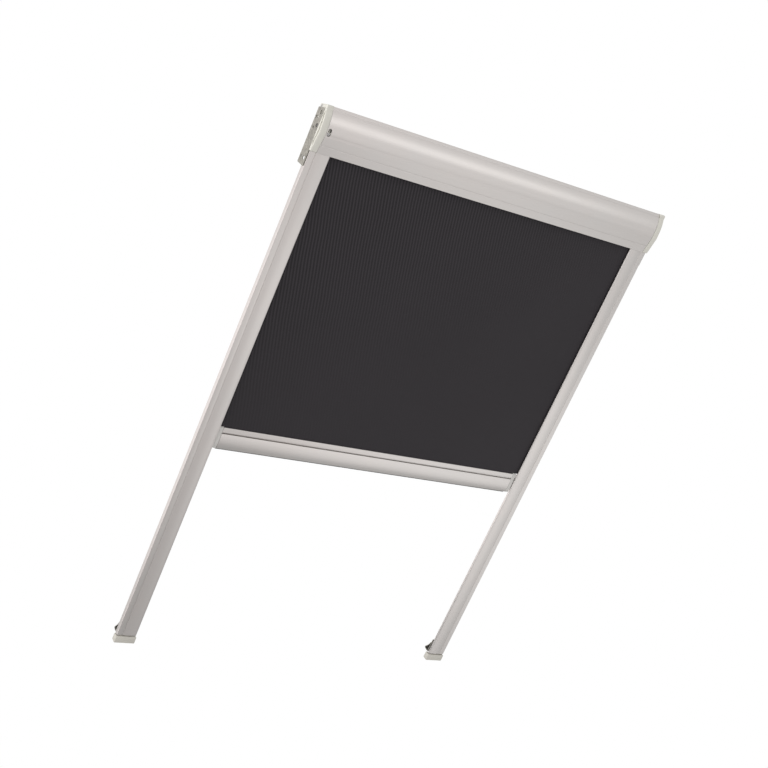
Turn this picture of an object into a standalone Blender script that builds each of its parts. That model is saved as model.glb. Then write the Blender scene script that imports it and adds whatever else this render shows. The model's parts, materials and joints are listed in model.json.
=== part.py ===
"""Blackout blind for a roof window.

A sprung roller turns in a bowed aluminium cassette. Its fabric runs down between two
side rails to a bottom bar, which slides in the rails on sprung shoes. The blind hangs
on two plates at the head and grips the window with two folded clips at the feet.

It is modelled upright: +X is to the right seen from the room, +Y points out to the
glass, and +Z up to the head of the window. Y = 0 is the front face of the rails, Z = 0
the lower edge of the cassette, and X = 0 the middle.
"""

from math import acos, atan2, ceil, cos, hypot, pi, radians, sin, tan

import bmesh
import bpy
from mathutils import Matrix, Vector

MM = 0.001

# Fits
GAP = 0.3 * MM                   # left between pieces that touch
FACET = 0.02 * MM                # how far a flat facet may leave its arc
NEAR = 0.1 * MM                  # closer points of an outline are one

# Facets round turned pieces
ROUND_STEPS = 28
ROLL_STEPS = 36
ANCHOR_STEPS = 20
SHAFT_STEPS = 18
BORE_STEPS = 16
SCREW_STEPS = 12

# Layout
CLEAR_WIDTH = 552.8 * MM         # between the lips of the two rails
RAIL_LENGTH = 789.3 * MM
BAR_DROP = 419.4 * MM            # from the cassette down to the top of the bar

# Side rail section: u runs outwards from the lip, v runs back from the front face
RAIL_WIDTH = 31.5 * MM
RAIL_DEPTH = 8.4 * MM
RAIL_WALL = 1.3 * MM
RAIL_COVE = 0.6 * MM             # how deep the front face is dished
COVE_STEPS = 8
RAIL_FILLET = 0.4 * MM
LIP_WIDTH = 3.2 * MM
LIP_THICKNESS = 3.0 * MM
LIP_ROUND = 0.48                 # radius of its edges, as a share of its thickness
BACK_LIP_SETBACK = 4.4 * MM
GROOVE_AT = 22.3 * MM
GROOVE_WIDTH = 1.0 * MM
GROOVE_DEPTH = 0.6 * MM
RAIL_CORNER = 1.0 * MM

# Cassette section: Y and Z of the corners that its curves are drawn through
CASSETTE_HEIGHT = 64.1 * MM
CASSETTE_BACK = 19.4 * MM
CASSETTE_WALL = 1.3 * MM
CASSETTE_CORNER = 2.0 * MM
COVER_FOOT_OUT = 2.1 * MM
COVER_CREST_OUT = 7.45 * MM
COVER_CREST_UP = 27.9 * MM
COVER_CREST_RADIUS = 33.0 * MM
COVER_BROW_OUT = 6.0 * MM
COVER_BROW_UP = 48.4 * MM
COVER_BROW_RADIUS = 55.0 * MM
COVER_TOP_IN = 0.6 * MM
TOP_FALL = radians(13.0)         # the top slopes down to the back
COVER_LINE_UP = 11.5 * MM        # fine line along the lower flank
COVER_LINE_DOWN = 4.4 * MM       # fine line along the upper flank, from the top
COVER_LINE_WIDTH = 0.8 * MM
COVER_LINE_DEPTH = 0.3 * MM
FOOT_FLANGE_DEPTH = 2.6 * MM
FOOT_FLANGE_HEIGHT = 1.6 * MM
GUIDE_BEAD_RADIUS = 1.5 * MM     # rounded nose that the fabric bends over
PORT_RADIUS = 2.7 * MM           # screw ports in the two back corners
PORT_STAND = 1.9 * MM
PORT_STEPS = 18

# End caps of the cassette
CAP_INNER = 22.7 * MM            # u where the cassette ends and the cap starts
CAP_PROUD = 0.3 * MM
CAP_TOP_OUT = 2.0 * MM           # its upright brow, past the plane of the rails
CAP_SHOULDER = 5.0 * MM          # radius where its bow runs into that brow
CAP_EDGE = 1.2 * MM
CAP_EDGE_STEPS = 4
CAP_LAP = 1.0 * MM               # how far its parts run into one another
CAP_HUB_RADIUS = 9.5 * MM
CAP_PLUG_DEPTH = 7.4 * MM
CAP_TONGUE = 22.0 * MM           # how far it reaches down into the rail
CAP_POCKET_LAND = 0.3 * MM       # flat left between the rounded edge and the pocket
CAP_POCKET_WIDTH = 3.7 * MM
CAP_POCKET_DEPTH = 4.5 * MM
CAP_POCKET_LOW = 6.0 * MM
CAP_POCKET_HIGH = 57.0 * MM
CAP_POCKET_TAPER = 7.0 * MM

# Head brackets
PLATE_THICKNESS = 1.2 * MM
PLATE_FRONT = 1.6 * MM
PLATE_BACK = 19.7 * MM
PLATE_TOP = 59.1 * MM
PLATE_TOP_BACK = 54.9 * MM
PLATE_DROP = 22.8 * MM
PLATE_CORNER = 1.2 * MM
PLATE_HOLE_RADIUS = 2.8 * MM
PLATE_HOLE_BACK = 7.4 * MM
PLATE_HOLE_UP = 51.0 * MM
PLATE_HOLE_DOWN = 13.0 * MM
PLATE_SLOT_UP = 43.0 * MM
PLATE_SLOT_LENGTH = 8.0 * MM
PLATE_SLOT_WIDTH = 2.4 * MM
PLATE_PILOT_RADIUS = 1.4 * MM

# Screws and rivets
PORT_SCREW_RADIUS = 1.1 * MM
PORT_SCREW_LENGTH = 15.0 * MM
PORT_SCREW_HEAD = 2.2 * MM
PORT_SCREW_TIP = 0.66 * MM
COVER_SLOT_IN = 4.1 * MM         # from the end of the cassette's cover
COVER_SLOT_WIDTH = 5.4 * MM
COVER_SLOT_HEIGHT = 10.8 * MM
COVER_SCREW_UP = 28.4 * MM
COVER_SCREW_RADIUS = 1.3 * MM
COVER_SCREW_HEAD_RADIUS = 2.2 * MM
COVER_SCREW_HEAD_HEIGHT = 1.2 * MM
COVER_SCREW_LENGTH = 6.0 * MM
COVER_SCREW_EDGE = 0.3 * MM
COVER_BOSS_REACH = 3.0 * MM      # above and below the screw
RIVET_RADIUS = 1.4 * MM
RIVET_BULB_RADIUS = 1.8 * MM     # its tail, upset inside the chamber of the rail
RIVET_BULB_HEIGHT = 1.1 * MM
RIVET_HEAD_RADIUS = 2.4 * MM
RIVET_HEAD_HEIGHT = 0.9 * MM
RIVET_CROWN_RADIUS = 1.0 * MM
RIVET_CROWN_HEIGHT = 0.3 * MM    # the last of the head's height, sloping to the crown

# Roller
AXIS_BACK = 6.1 * MM
AXIS_UP = 33.0 * MM
SHAFT_RADIUS = 2.5 * MM
SHAFT_CHAMFER = 0.5 * MM
TUBE_RADIUS = 7.5 * MM
TUBE_WALL = 0.8 * MM
ROLLER_END_GAP = 1.6 * MM        # from the hub of a cap to the end of the tube
ROLL_RADIUS = 9.4 * MM           # tube and the fabric still wound on it
PLUG_LENGTH = 10.0 * MM
PLUG_FLANGE = 1.0 * MM
IDLE_PIN_REACH = 27.0 * MM
SPRING_RADIUS = 5.3 * MM         # to the middle of the wire
SPRING_WIRE = 1.5 * MM
SPRING_TURNS = 40
SPRING_FACETS = 8                # in each turn
SPRING_LENGTH = 112.0 * MM
ANCHOR_LENGTH = 8.0 * MM
DRIVE_PLUG_LENGTH = 12.0 * MM

# Fabric
FABRIC_BACK = 4.4 * MM           # middle of its thickness
FABRIC_THICKNESS = 0.3 * MM
FABRIC_IN_RAIL = 12.8 * MM       # how far it reaches in behind each lip
FABRIC_TUCK = 5.4 * MM           # how far its hem reaches into the bar

# Bottom bar section
BAR_HEIGHT = 35.2 * MM
BAR_FRONT = 2.8 * MM
BAR_BACK = 10.6 * MM
BAR_WALL = 1.2 * MM
BAR_END_INSET = 7.0 * MM         # the aluminium ends this far inside the lips
BAR_BAND = 7.7 * MM              # flat band above the groove
BAR_GROOVE = 2.6 * MM
BAR_GROOVE_DEPTH = 2.0 * MM
BAR_GROOVE_SLOPE = 1.0 * MM      # how far its ceiling falls to the back
BAR_LIP = 0.8 * MM               # upturned edge of the grip, below the groove
BAR_LIP_RISE = 1.5 * MM
BAR_CREST_OUT = 1.7 * MM         # how far the corner of the grip stands out past the band
BAR_CREST_DOWN = 22.0 * MM
BAR_CREST_RADIUS = 60.0 * MM
BAR_HEEL_IN = 0.7 * MM
BAR_HEEL_RADIUS = 1.5 * MM
BAR_EDGE = 0.6 * MM
BAR_FILLET = 0.3 * MM            # inside its chamber
KEDER_MOUTH = 1.3 * MM           # wall above the keder's chamber
KEDER_CHAMBER = 5.6 * MM
KEDER_RADIUS = 1.7 * MM
SEAL_SLOT = 2.0 * MM
SEAL_CAVITY = 4.4 * MM
SEAL_LIP = 1.0 * MM
SEAL_CAVITY_HEIGHT = 1.8 * MM
SEAL_PROUD = 2.0 * MM

# Ends of the bar
BAR_CAP_SHY = 0.5 * MM           # running gap to the lip of the rail
BAR_PLUG = 12.0 * MM
BAR_PLUG_HEIGHT = 19.0 * MM
TONGUE_REACH = 15.6 * MM         # u that the cap's tongue reaches in the rail
TONGUE_THICKNESS = 1.6 * MM
TONGUE_HEIGHT = 20.0 * MM
SHOE_START = 8.7 * MM
SHOE_HEIGHT = 28.0 * MM
SHOE_DOWN = 3.5 * MM
BRAKE_THICKNESS = 0.4 * MM
BRAKE_WIDTH = 7.0 * MM
BRAKE_BOW = 0.4 * MM
BRAKE_STEPS = 8
BRAKE_SHY = 1.0 * MM             # shorter than the shoe at each end

# Feet of the rails
FOOT_CAP_HEIGHT = 11.6 * MM
FOOT_NECK = 2.0 * MM             # shadow gap between the rail and the cap
FOOT_NECK_INSET = 1.1 * MM
FOOT_CAP_PROUD = 1.7 * MM        # in front of the rail
FOOT_CAP_SIDE = 0.9 * MM         # past the rail at either side
FOOT_CAP_EDGE = 1.0 * MM
FOOT_PEG = 14.0 * MM
FOOT_STOP = 3.4 * MM
CLIP_THICKNESS = 1.1 * MM
CLIP_START = 3.0 * MM
CLIP_WIDTH = 26.6 * MM
CLIP_LEG = 23.0 * MM             # above the end of the rail
CLIP_DROP = 2.0 * MM             # below the end of the rail
CLIP_NOSE_BACK = 20.8 * MM
CLIP_NOSE_DOWN = 1.2 * MM
CLIP_KNEE_BACK = 13.6 * MM
CLIP_KNEE_UP = 8.6 * MM
CLIP_TONGUE_UP = 16.0 * MM
CLIP_BEND = 1.5 * MM
CLIP_KNEE_BEND = 3.0 * MM

# Pile strips
PILE_WIDTH = 4.0 * MM            # in the rails
CASSETTE_PILE_HEIGHT = 3.6 * MM


def finish(name, bm, material, smooth=30.0):
    """Store the mesh as an object of its own."""
    bmesh.ops.recalc_face_normals(bm, faces=bm.faces)
    mesh = bpy.data.meshes.new(name)
    bm.to_mesh(mesh)
    bm.free()
    mesh.shade_smooth()
    mesh.set_sharp_from_angle(angle=radians(smooth))
    mesh.materials.append(material)
    obj = bpy.data.objects.new(name, mesh)
    bpy.context.collection.objects.link(obj)
    return obj


def paint(name, colour, roughness, metallic=0.0):
    """Principled material of one colour."""
    material = bpy.data.materials.new(name)
    material.use_nodes = True
    shader = material.node_tree.nodes["Principled BSDF"]
    shader.inputs["Base Color"].default_value = (*colour, 1.0)
    shader.inputs["Roughness"].default_value = roughness
    shader.inputs["Metallic"].default_value = metallic
    return material


def steps_for(radius, turn):
    """How many facets keep an arc true to FACET."""
    if radius <= FACET:
        return 1
    widest = 2 * acos(1 - FACET / radius)
    return max(2, ceil(abs(turn) / widest))


def circle(centre, radius, steps=None):
    """Closed round outline."""
    steps = steps or max(10, steps_for(radius, 2 * pi))
    return [
        (centre[0] + radius * cos(2 * pi * i / steps), centre[1] + radius * sin(2 * pi * i / steps))
        for i in range(steps)
    ]


def slot(centre, length, width):
    """Closed obround outline along the first coordinate."""
    reach = (length - width) / 2
    steps = steps_for(width / 2, pi)
    right = [(-pi / 2 + pi * i / steps, reach) for i in range(steps + 1)]
    left = [(pi / 2 + pi * i / steps, -reach) for i in range(steps + 1)]
    return [
        (centre[0] + shift + width / 2 * cos(angle), centre[1] + width / 2 * sin(angle))
        for angle, shift in right + left
    ]


def rounded(corners, closed=True):
    """Outline through corners of (a, b, radius), each rounded to its radius."""
    count = len(corners)
    places = [Vector(corner[:2]) for corner in corners]
    reaches = []
    for i, (_, _, radius) in enumerate(corners):
        is_end = not closed and i in (0, count - 1)
        before = places[i - 1] - places[i]
        after = places[(i + 1) % count] - places[i]
        if is_end or radius == 0:
            reaches.append(0.0)
        else:
            reaches.append(radius / tan(before.angle(after) / 2))
    limits = list(reaches)
    for i in range(count if closed else count - 1):
        j = (i + 1) % count
        room = (places[j] - places[i]).length
        wanted = reaches[i] + reaches[j]
        if wanted > room:
            limits[i] = min(limits[i], reaches[i] * room * 0.98 / wanted)
            limits[j] = min(limits[j], reaches[j] * room * 0.98 / wanted)
    outline = []
    for i, here in enumerate(places):
        reach = limits[i]
        if reach < FACET:
            outline.append(tuple(here))
            continue
        before = (places[i - 1] - here).normalized()
        after = (places[(i + 1) % count] - here).normalized()
        half = before.angle(after) / 2
        radius = reach * tan(half)
        centre = here + (before + after).normalized() * (reach / cos(half))
        first = here + before * reach - centre
        last = here + after * reach - centre
        turn = atan2(first.x * last.y - first.y * last.x, first.dot(last))
        start = atan2(first.y, first.x)
        steps = steps_for(radius, turn)
        outline += [
            (centre.x + radius * cos(start + turn * k / steps),
             centre.y + radius * sin(start + turn * k / steps))
            for k in range(steps + 1)
        ]
    kept = outline[:1]
    for point in outline[1:]:
        if hypot(point[0] - kept[-1][0], point[1] - kept[-1][1]) > NEAR:
            kept.append(point)
    return kept


def offset(path, distance, closed=False):
    """The path moved sideways, to the right of the way it runs."""
    moved = []
    count = len(path)
    for i, point in enumerate(path):
        here = Vector(point)
        before = Vector(path[i - 1]) if closed or i > 0 else None
        after = Vector(path[(i + 1) % count]) if closed or i < count - 1 else None
        ways = []
        if before is not None:
            ways.append((here - before).normalized())
        if after is not None:
            ways.append((after - here).normalized())
        normals = [Vector((way.y, -way.x)) for way in ways]
        normal = sum(normals, Vector((0, 0))).normalized()
        stretch = max(normal.dot(normals[0]), 0.5)
        moved.append(tuple(here + normal * (distance / stretch)))
    return moved


def on_axis(axis, a, b, along):
    """A point from its place in a section and its distance along the axis."""
    if axis == "X":
        return (along, a, b)
    if axis == "Y":
        return (a, along, b)
    return (a, b, along)


def prism(name, outlines, axis, start, end, material):
    """Solid of one section: the outer outline first, then its holes."""
    bm = bmesh.new()
    rings = []
    for outline in outlines:
        first = [bm.verts.new(on_axis(axis, a, b, start)) for a, b in outline]
        last = [bm.verts.new(on_axis(axis, a, b, end)) for a, b in outline]
        rings.append((first, last))
        for i in range(len(outline)):
            bm.faces.new((first[i - 1], first[i], last[i], last[i - 1]))
    for which in (0, 1):
        loops = [ring[which] for ring in rings]
        if len(loops) == 1:
            bm.faces.new(loops[0])
            continue
        edges = [
            bm.edges.get((loop[i - 1], loop[i])) for loop in loops for i in range(len(loop))
        ]
        bmesh.ops.triangle_fill(bm, use_beauty=True, use_dissolve=False, edges=edges)
    return finish(name, bm, material)


def loft(name, rings, material):
    """Solid through rings of equally many points, closed by flat ends."""
    bm = bmesh.new()
    made = [[bm.verts.new(point) for point in ring] for ring in rings]
    for before, after in zip(made, made[1:]):
        for i in range(len(before)):
            bm.faces.new((before[i - 1], before[i], after[i], after[i - 1]))
    bm.faces.new(made[0])
    bm.faces.new(made[-1])
    return finish(name, bm, material)


def turned(name, profile, centre, material, axis="X", bored=False, steps=ROUND_STEPS):
    """Round piece from (radius, along) points; a bored one has a closed profile."""
    bm = bmesh.new()
    rings = [
        [
            bm.verts.new(on_axis(axis, centre[0] + a, centre[1] + b, along))
            for a, b in circle((0, 0), radius, steps)
        ]
        for radius, along in profile
    ]
    pairs = list(zip(rings, rings[1:]))
    if bored:
        pairs.append((rings[-1], rings[0]))
    else:
        bm.faces.new(rings[0])
        bm.faces.new(rings[-1])
    for before, after in pairs:
        for i in range(steps):
            bm.faces.new((before[i - 1], before[i], after[i], after[i - 1]))
    return finish(name, bm, material, smooth=40.0)


def box(name, low, high, material):
    """Plain block between two corners given in any order."""
    outline = [(low[0], low[1]), (high[0], low[1]), (high[0], high[1]), (low[0], high[1])]
    return prism(name, [outline], "Z", low[2], high[2], material)


def combine(obj, other, operation):
    """Join or cut with another solid, which stays as a hidden tool."""
    modifier = obj.modifiers.new(other.name, "BOOLEAN")
    modifier.operation = operation
    modifier.object = other
    modifier.solver = "EXACT"
    other.hide_render = True
    other.display_type = "WIRE"


def soften(obj, width, angle=50.0):
    """Small bevel along the sharp edges."""
    modifier = obj.modifiers.new("soft edges", "BEVEL")
    modifier.width = width
    modifier.segments = 2
    modifier.limit_method = "ANGLE"
    modifier.angle_limit = radians(angle)
    modifier.harden_normals = False


def across(side, u):
    """X of a place u outwards from the lip of the left (-1) or right (1) rail."""
    return side * (CLEAR_WIDTH / 2 + u)


def side_name(side):
    return "left" if side < 0 else "right"


def channel_front():
    """v of the inner face of the rail's front wall."""
    return RAIL_COVE + RAIL_WALL


def channel_back():
    """v of the inner face of the rail's back wall."""
    return RAIL_DEPTH - RAIL_WALL


def rail_section():
    """Open channel with a rounded lip, and the closed chamber beside it."""
    cove_start = LIP_WIDTH
    cove_end = GROOVE_AT - GROOVE_WIDTH
    cove = [
        (
            cove_start + (cove_end - cove_start) * i / COVE_STEPS,
            RAIL_COVE * sin(pi * i / COVE_STEPS),
            0,
        )
        for i in range(COVE_STEPS + 1)
    ]
    nose = LIP_THICKNESS * LIP_ROUND
    rib_in = GROOVE_AT - RAIL_WALL / 2
    rib_out = GROOVE_AT + RAIL_WALL / 2
    front, back = channel_front(), channel_back()
    inner = RAIL_FILLET
    outline = [(0, 0, nose)] + cove + [
        (GROOVE_AT - GROOVE_WIDTH / 2, 0, 0),
        (GROOVE_AT, GROOVE_DEPTH, 0),
        (GROOVE_AT + GROOVE_WIDTH / 2, 0, 0),
        (RAIL_WIDTH, 0, RAIL_CORNER),
        (RAIL_WIDTH, RAIL_DEPTH, RAIL_CORNER),
        (BACK_LIP_SETBACK, RAIL_DEPTH, inner),
        (BACK_LIP_SETBACK, back, inner),
        (rib_in, back, inner),
        (rib_in, front, inner),
        (LIP_WIDTH, front, inner),
        (LIP_WIDTH, LIP_THICKNESS, inner),
        (0, LIP_THICKNESS, nose),
    ]
    chamber = [
        (rib_out, front - RAIL_COVE + GROOVE_DEPTH, inner),
        (RAIL_WIDTH - RAIL_WALL, front - RAIL_COVE, inner),
        (RAIL_WIDTH - RAIL_WALL, back, inner),
        (rib_out, back, inner),
    ]
    return rounded(outline), rounded(chamber)


def cover_corners():
    """Corners of the cassette's outside, from its front foot round to the back."""
    back_top = CASSETTE_HEIGHT - tan(TOP_FALL) * (CASSETTE_BACK - COVER_TOP_IN)
    return [
        (-COVER_FOOT_OUT, 0, 0),
        (-COVER_CREST_OUT, COVER_CREST_UP, COVER_CREST_RADIUS),
        (-COVER_BROW_OUT, COVER_BROW_UP, COVER_BROW_RADIUS),
        (COVER_TOP_IN, CASSETTE_HEIGHT, CASSETTE_CORNER),
        (CASSETTE_BACK, back_top, CASSETTE_CORNER),
        (CASSETTE_BACK, 0, CASSETTE_CORNER),
    ]


def plate_outer():
    """u of the outer side of the head brackets and the end caps."""
    return RAIL_WIDTH + GAP + PLATE_THICKNESS


def cap_corners():
    """Corners of an end cap, proud of the cassette all round but level with its foot."""
    corners = cover_corners()
    top = next(i for i, corner in enumerate(corners) if corner[1] == CASSETTE_HEIGHT)
    share = (COVER_BROW_OUT - CAP_TOP_OUT) / (COVER_BROW_OUT + COVER_TOP_IN)
    corners[top:top + 1] = [
        (-CAP_TOP_OUT, COVER_BROW_UP + (CASSETTE_HEIGHT - COVER_BROW_UP) * share, CAP_SHOULDER),
        (-CAP_TOP_OUT, CASSETTE_HEIGHT + tan(TOP_FALL) * (COVER_TOP_IN + CAP_TOP_OUT), CASSETTE_CORNER),
    ]
    wider = offset([corner[:2] for corner in corners], -CAP_PROUD, closed=True)
    radii = [max(radius, CAP_EDGE) + CAP_PROUD for _, _, radius in corners]
    return [(a, max(b, 0), radius) for (a, b), radius in zip(wider, radii)]


def front_run(path, low, high):
    """The part of a rising front line between two heights."""
    run = []
    for (y0, z0), (y1, z1) in zip(path, path[1:]):
        for edge in (low, high):
            if z0 < edge < z1:
                run.append((y0 + (y1 - y0) * (edge - z0) / (z1 - z0), edge))
        if low < z1 < high:
            run.append((y1, z1))
        if z1 > high:
            break
    return sorted(run, key=lambda point: point[1])


def cap_pocket():
    """Crescent in the cap's outer side, between its front wall and its rim."""
    outline = rounded(cap_corners())
    wall = CAP_EDGE + CAP_POCKET_LAND
    front = front_run(offset(outline, wall, closed=True), CAP_POCKET_LOW, CAP_POCKET_HIGH)
    back = front_run(
        offset(outline, wall + CAP_POCKET_WIDTH, closed=True),
        CAP_POCKET_LOW + CAP_POCKET_TAPER, CAP_POCKET_HIGH - CAP_POCKET_TAPER,
    )
    return front + back[::-1]


def guide_bead():
    """Y and Z of the middle of the nose that the fabric bends over."""
    back = FABRIC_BACK + FABRIC_THICKNESS / 2 + GAP + GUIDE_BEAD_RADIUS
    return back, GUIDE_BEAD_RADIUS


def screw_ports():
    """Y and Z of the two screw ports in the back corners."""
    back = CASSETTE_BACK - CASSETTE_WALL - PORT_STAND
    under_top = CASSETTE_HEIGHT - tan(TOP_FALL) * (back - COVER_TOP_IN)
    up = under_top - (CASSETTE_WALL + PORT_STAND) / cos(TOP_FALL)
    return [(back, up), (back, CASSETTE_WALL + PORT_STAND)]


def cover_flank(up):
    """How far the straight lower flank stands out at a height."""
    share = up / COVER_CREST_UP
    return COVER_FOOT_OUT + (COVER_CREST_OUT - COVER_FOOT_OUT) * share


def cover_slot():
    """X and Z outline of the slot in the cover, with the screw at its lower end."""
    middle = COVER_SCREW_UP + (COVER_SLOT_HEIGHT - COVER_SLOT_WIDTH) / 2
    return [
        (b, a) for a, b in slot((middle, cover_screw_x()), COVER_SLOT_HEIGHT, COVER_SLOT_WIDTH)
    ]


def scored(path, up):
    """The path with a fine line cut in the straight that rises through a height."""
    low, high = up - COVER_LINE_WIDTH / 2, up + COVER_LINE_WIDTH / 2
    for i, ((y0, z0), (y1, z1)) in enumerate(zip(path, path[1:]), start=1):
        if z0 < low and high < z1:
            lean = (y1 - y0) / (z1 - z0)
            line = [
                (y0 + lean * (z - z0) + depth, z)
                for z, depth in ((low, 0), (up, COVER_LINE_DEPTH), (high, 0))
            ]
            return path[:i] + line + path[i:]
    return path


def cassette_section():
    """C-shaped section: bowed front, top, back, and a bottom with a guide nose."""
    bead_back, bead_up = guide_bead()
    drop = min(max((CASSETTE_WALL - bead_up) / GUIDE_BEAD_RADIUS, -1.0), 1.0)
    join_angle = atan2(drop, (1 - drop * drop) ** 0.5)
    join_back = bead_back + GUIDE_BEAD_RADIUS * cos(join_angle)
    outside = rounded(cover_corners() + [(join_back, 0, 0)], closed=False)
    inside = offset(outside, CASSETTE_WALL)
    for line_up in (COVER_LINE_UP, CASSETTE_HEIGHT - COVER_LINE_DOWN):
        outside = scored(outside, line_up)
    steps = steps_for(GUIDE_BEAD_RADIUS, 2 * pi)
    sweep = 1.5 * pi - join_angle
    bead = [
        (bead_back + GUIDE_BEAD_RADIUS * cos(-pi / 2 - sweep * i / steps),
         bead_up + GUIDE_BEAD_RADIUS * sin(-pi / 2 - sweep * i / steps))
        for i in range(steps + 1)
    ]
    flange_back = FOOT_FLANGE_DEPTH - COVER_FOOT_OUT
    wall = [
        (back, up) for back, up in reversed(inside[:-1])
        if up > FOOT_FLANGE_HEIGHT or back > bead_back
    ]
    foot = [
        (CASSETTE_WALL - cover_flank(FOOT_FLANGE_HEIGHT), FOOT_FLANGE_HEIGHT),
        (flange_back, FOOT_FLANGE_HEIGHT),
        (flange_back, 0),
    ]
    return outside[:-1] + bead + wall + foot


def bar_corners(groove=True):
    """Front of the bar from its heel up to its top edge, Z down from the top."""
    crest = BAR_FRONT - BAR_CREST_OUT
    front = [
        (BAR_FRONT + BAR_HEEL_IN, -BAR_HEIGHT, BAR_HEEL_RADIUS),
        (crest, -BAR_CREST_DOWN, BAR_CREST_RADIUS),
        (BAR_FRONT, -BAR_BAND - BAR_GROOVE, BAR_EDGE),
    ]
    if groove:
        front[-1] = (BAR_FRONT, -BAR_BAND - BAR_GROOVE, BAR_LIP / 2)
        front += [
            (BAR_FRONT + BAR_LIP, -BAR_BAND - BAR_GROOVE, BAR_LIP / 2),
            (BAR_FRONT + BAR_LIP, -BAR_BAND - BAR_GROOVE - BAR_LIP_RISE, 0),
            (BAR_FRONT + BAR_GROOVE_DEPTH, -BAR_BAND - BAR_GROOVE - BAR_LIP_RISE, 0),
            (BAR_FRONT + BAR_GROOVE_DEPTH, -BAR_BAND - BAR_GROOVE_SLOPE, 0),
            (BAR_FRONT, -BAR_BAND, 0),
        ]
    return front + [(BAR_FRONT, 0, BAR_EDGE)]


def bar_section():
    """Hollow section: band and grip in front, keder chamber above, seal slot below."""
    mouth = FABRIC_THICKNESS / 2 + GAP
    floor = KEDER_MOUTH + KEDER_CHAMBER
    rear = BAR_BACK - BAR_WALL
    seal = seal_back()
    cavity_top = -BAR_HEIGHT + SEAL_LIP + SEAL_CAVITY_HEIGHT
    outline = bar_corners() + [
        (FABRIC_BACK - mouth, 0, 0),
        (FABRIC_BACK - mouth, -floor, 0),
        (rear, -floor, 0),
        (rear, -KEDER_MOUTH, 0),
        (FABRIC_BACK + mouth, -KEDER_MOUTH, 0),
        (FABRIC_BACK + mouth, 0, 0),
        (BAR_BACK, 0, BAR_EDGE),
        (BAR_BACK, -BAR_HEIGHT, BAR_EDGE),
        (seal + SEAL_SLOT / 2, -BAR_HEIGHT, 0),
        (seal + SEAL_SLOT / 2, -BAR_HEIGHT + SEAL_LIP, 0),
        (seal + SEAL_CAVITY / 2, -BAR_HEIGHT + SEAL_LIP, 0),
        (seal + SEAL_CAVITY / 2, cavity_top, 0),
        (seal - SEAL_CAVITY / 2, cavity_top, 0),
        (seal - SEAL_CAVITY / 2, -BAR_HEIGHT + SEAL_LIP, 0),
        (seal - SEAL_SLOT / 2, -BAR_HEIGHT + SEAL_LIP, 0),
        (seal - SEAL_SLOT / 2, -BAR_HEIGHT, 0),
    ]
    front = BAR_FRONT + BAR_GROOVE_DEPTH + BAR_WALL
    shoulder = -BAR_BAND - BAR_GROOVE - BAR_LIP_RISE - BAR_WALL
    chamber = [
        (front, -floor - BAR_WALL, BAR_FILLET),
        (rear, -floor - BAR_WALL, BAR_FILLET),
        (rear, cavity_top + BAR_WALL, BAR_FILLET),
        (BAR_FRONT + BAR_HEEL_IN + BAR_WALL, cavity_top + BAR_WALL, BAR_FILLET),
        (BAR_FRONT - BAR_CREST_OUT + BAR_WALL, -BAR_CREST_DOWN, BAR_CREST_RADIUS),
        (BAR_FRONT + BAR_WALL, shoulder, 0),
        (front, shoulder, 0),
    ]
    return rounded(outline), rounded(chamber)


def seal_back():
    """Y of the middle of the seal under the bar."""
    return (BAR_FRONT + BAR_BACK) / 2 + BAR_HEEL_IN / 2


def fabric_path():
    """Middle line of the fabric: off the roll, over the guide nose and down."""
    roll = Vector((AXIS_BACK, AXIS_UP))
    bead = Vector(guide_bead())
    roll_reach = ROLL_RADIUS + GAP + FABRIC_THICKNESS / 2
    bead_reach = GUIDE_BEAD_RADIUS + GAP + FABRIC_THICKNESS / 2
    between = bead - roll
    lean = acos((roll_reach + bead_reach) / between.length)
    normal = atan2(between.y, between.x) + lean
    off_roll = (roll.x + roll_reach * cos(normal), roll.y + roll_reach * sin(normal))
    turn = -normal
    steps = steps_for(bead_reach, turn)
    over_nose = [
        (bead.x - bead_reach * cos(normal + turn * i / steps),
         bead.y - bead_reach * sin(normal + turn * i / steps))
        for i in range(steps + 1)
    ]
    return [off_roll] + over_nose


def moved(outline, a, b):
    return [(x + a, y + b) for x, y in outline]


def make_cassette(materials):
    """Extruded body of the cassette, with its screw ports and the pile at its mouth."""
    end = across(1, CAP_INNER)
    section = cassette_section()
    body = prism("cassette_profile", [section], "X", -end, end, materials["aluminium"])
    for number, place in enumerate(screw_ports()):
        port = prism(
            f"cut_port_{number}",
            [circle(place, PORT_RADIUS, PORT_STEPS),
             circle(place, PORT_SCREW_RADIUS + GAP, PORT_STEPS)],
            "X", -end + GAP, end - GAP, materials["aluminium"],
        )
        combine(body, port, "UNION")
    opening = prism("cut_cover_slot", [cover_slot()], "Y", -COVER_CREST_OUT * 2, -COVER_FOOT_OUT,
                    materials["aluminium"])
    combine(body, opening, "DIFFERENCE")
    flange_back = FOOT_FLANGE_DEPTH - COVER_FOOT_OUT
    low = FOOT_FLANGE_HEIGHT + GAP
    pile_front = CASSETTE_WALL + GAP - cover_flank(low)
    pile_back = FABRIC_BACK - FABRIC_THICKNESS / 2 - GAP
    pile = prism(
        "cassette_light_seal",
        [[(pile_front, low), (pile_back, low - GAP), (pile_back, low + CASSETTE_PILE_HEIGHT / 2),
          (flange_back, low + CASSETTE_PILE_HEIGHT), (pile_front, low + CASSETTE_PILE_HEIGHT)]],
        "X", -end + CAP_PLUG_DEPTH + GAP, end - CAP_PLUG_DEPTH - GAP, materials["pile"],
    )
    return [body, pile]


def cover_screw_x():
    """X of the screw in the cover, over the plug of the left end cap."""
    return across(-1, CAP_INNER - COVER_SLOT_IN)


def boss_front():
    """Y of the boss that the cover's screw seats on, just behind the cover."""
    return CASSETTE_WALL + GAP - cover_flank(COVER_SCREW_UP - COVER_BOSS_REACH)


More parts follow.
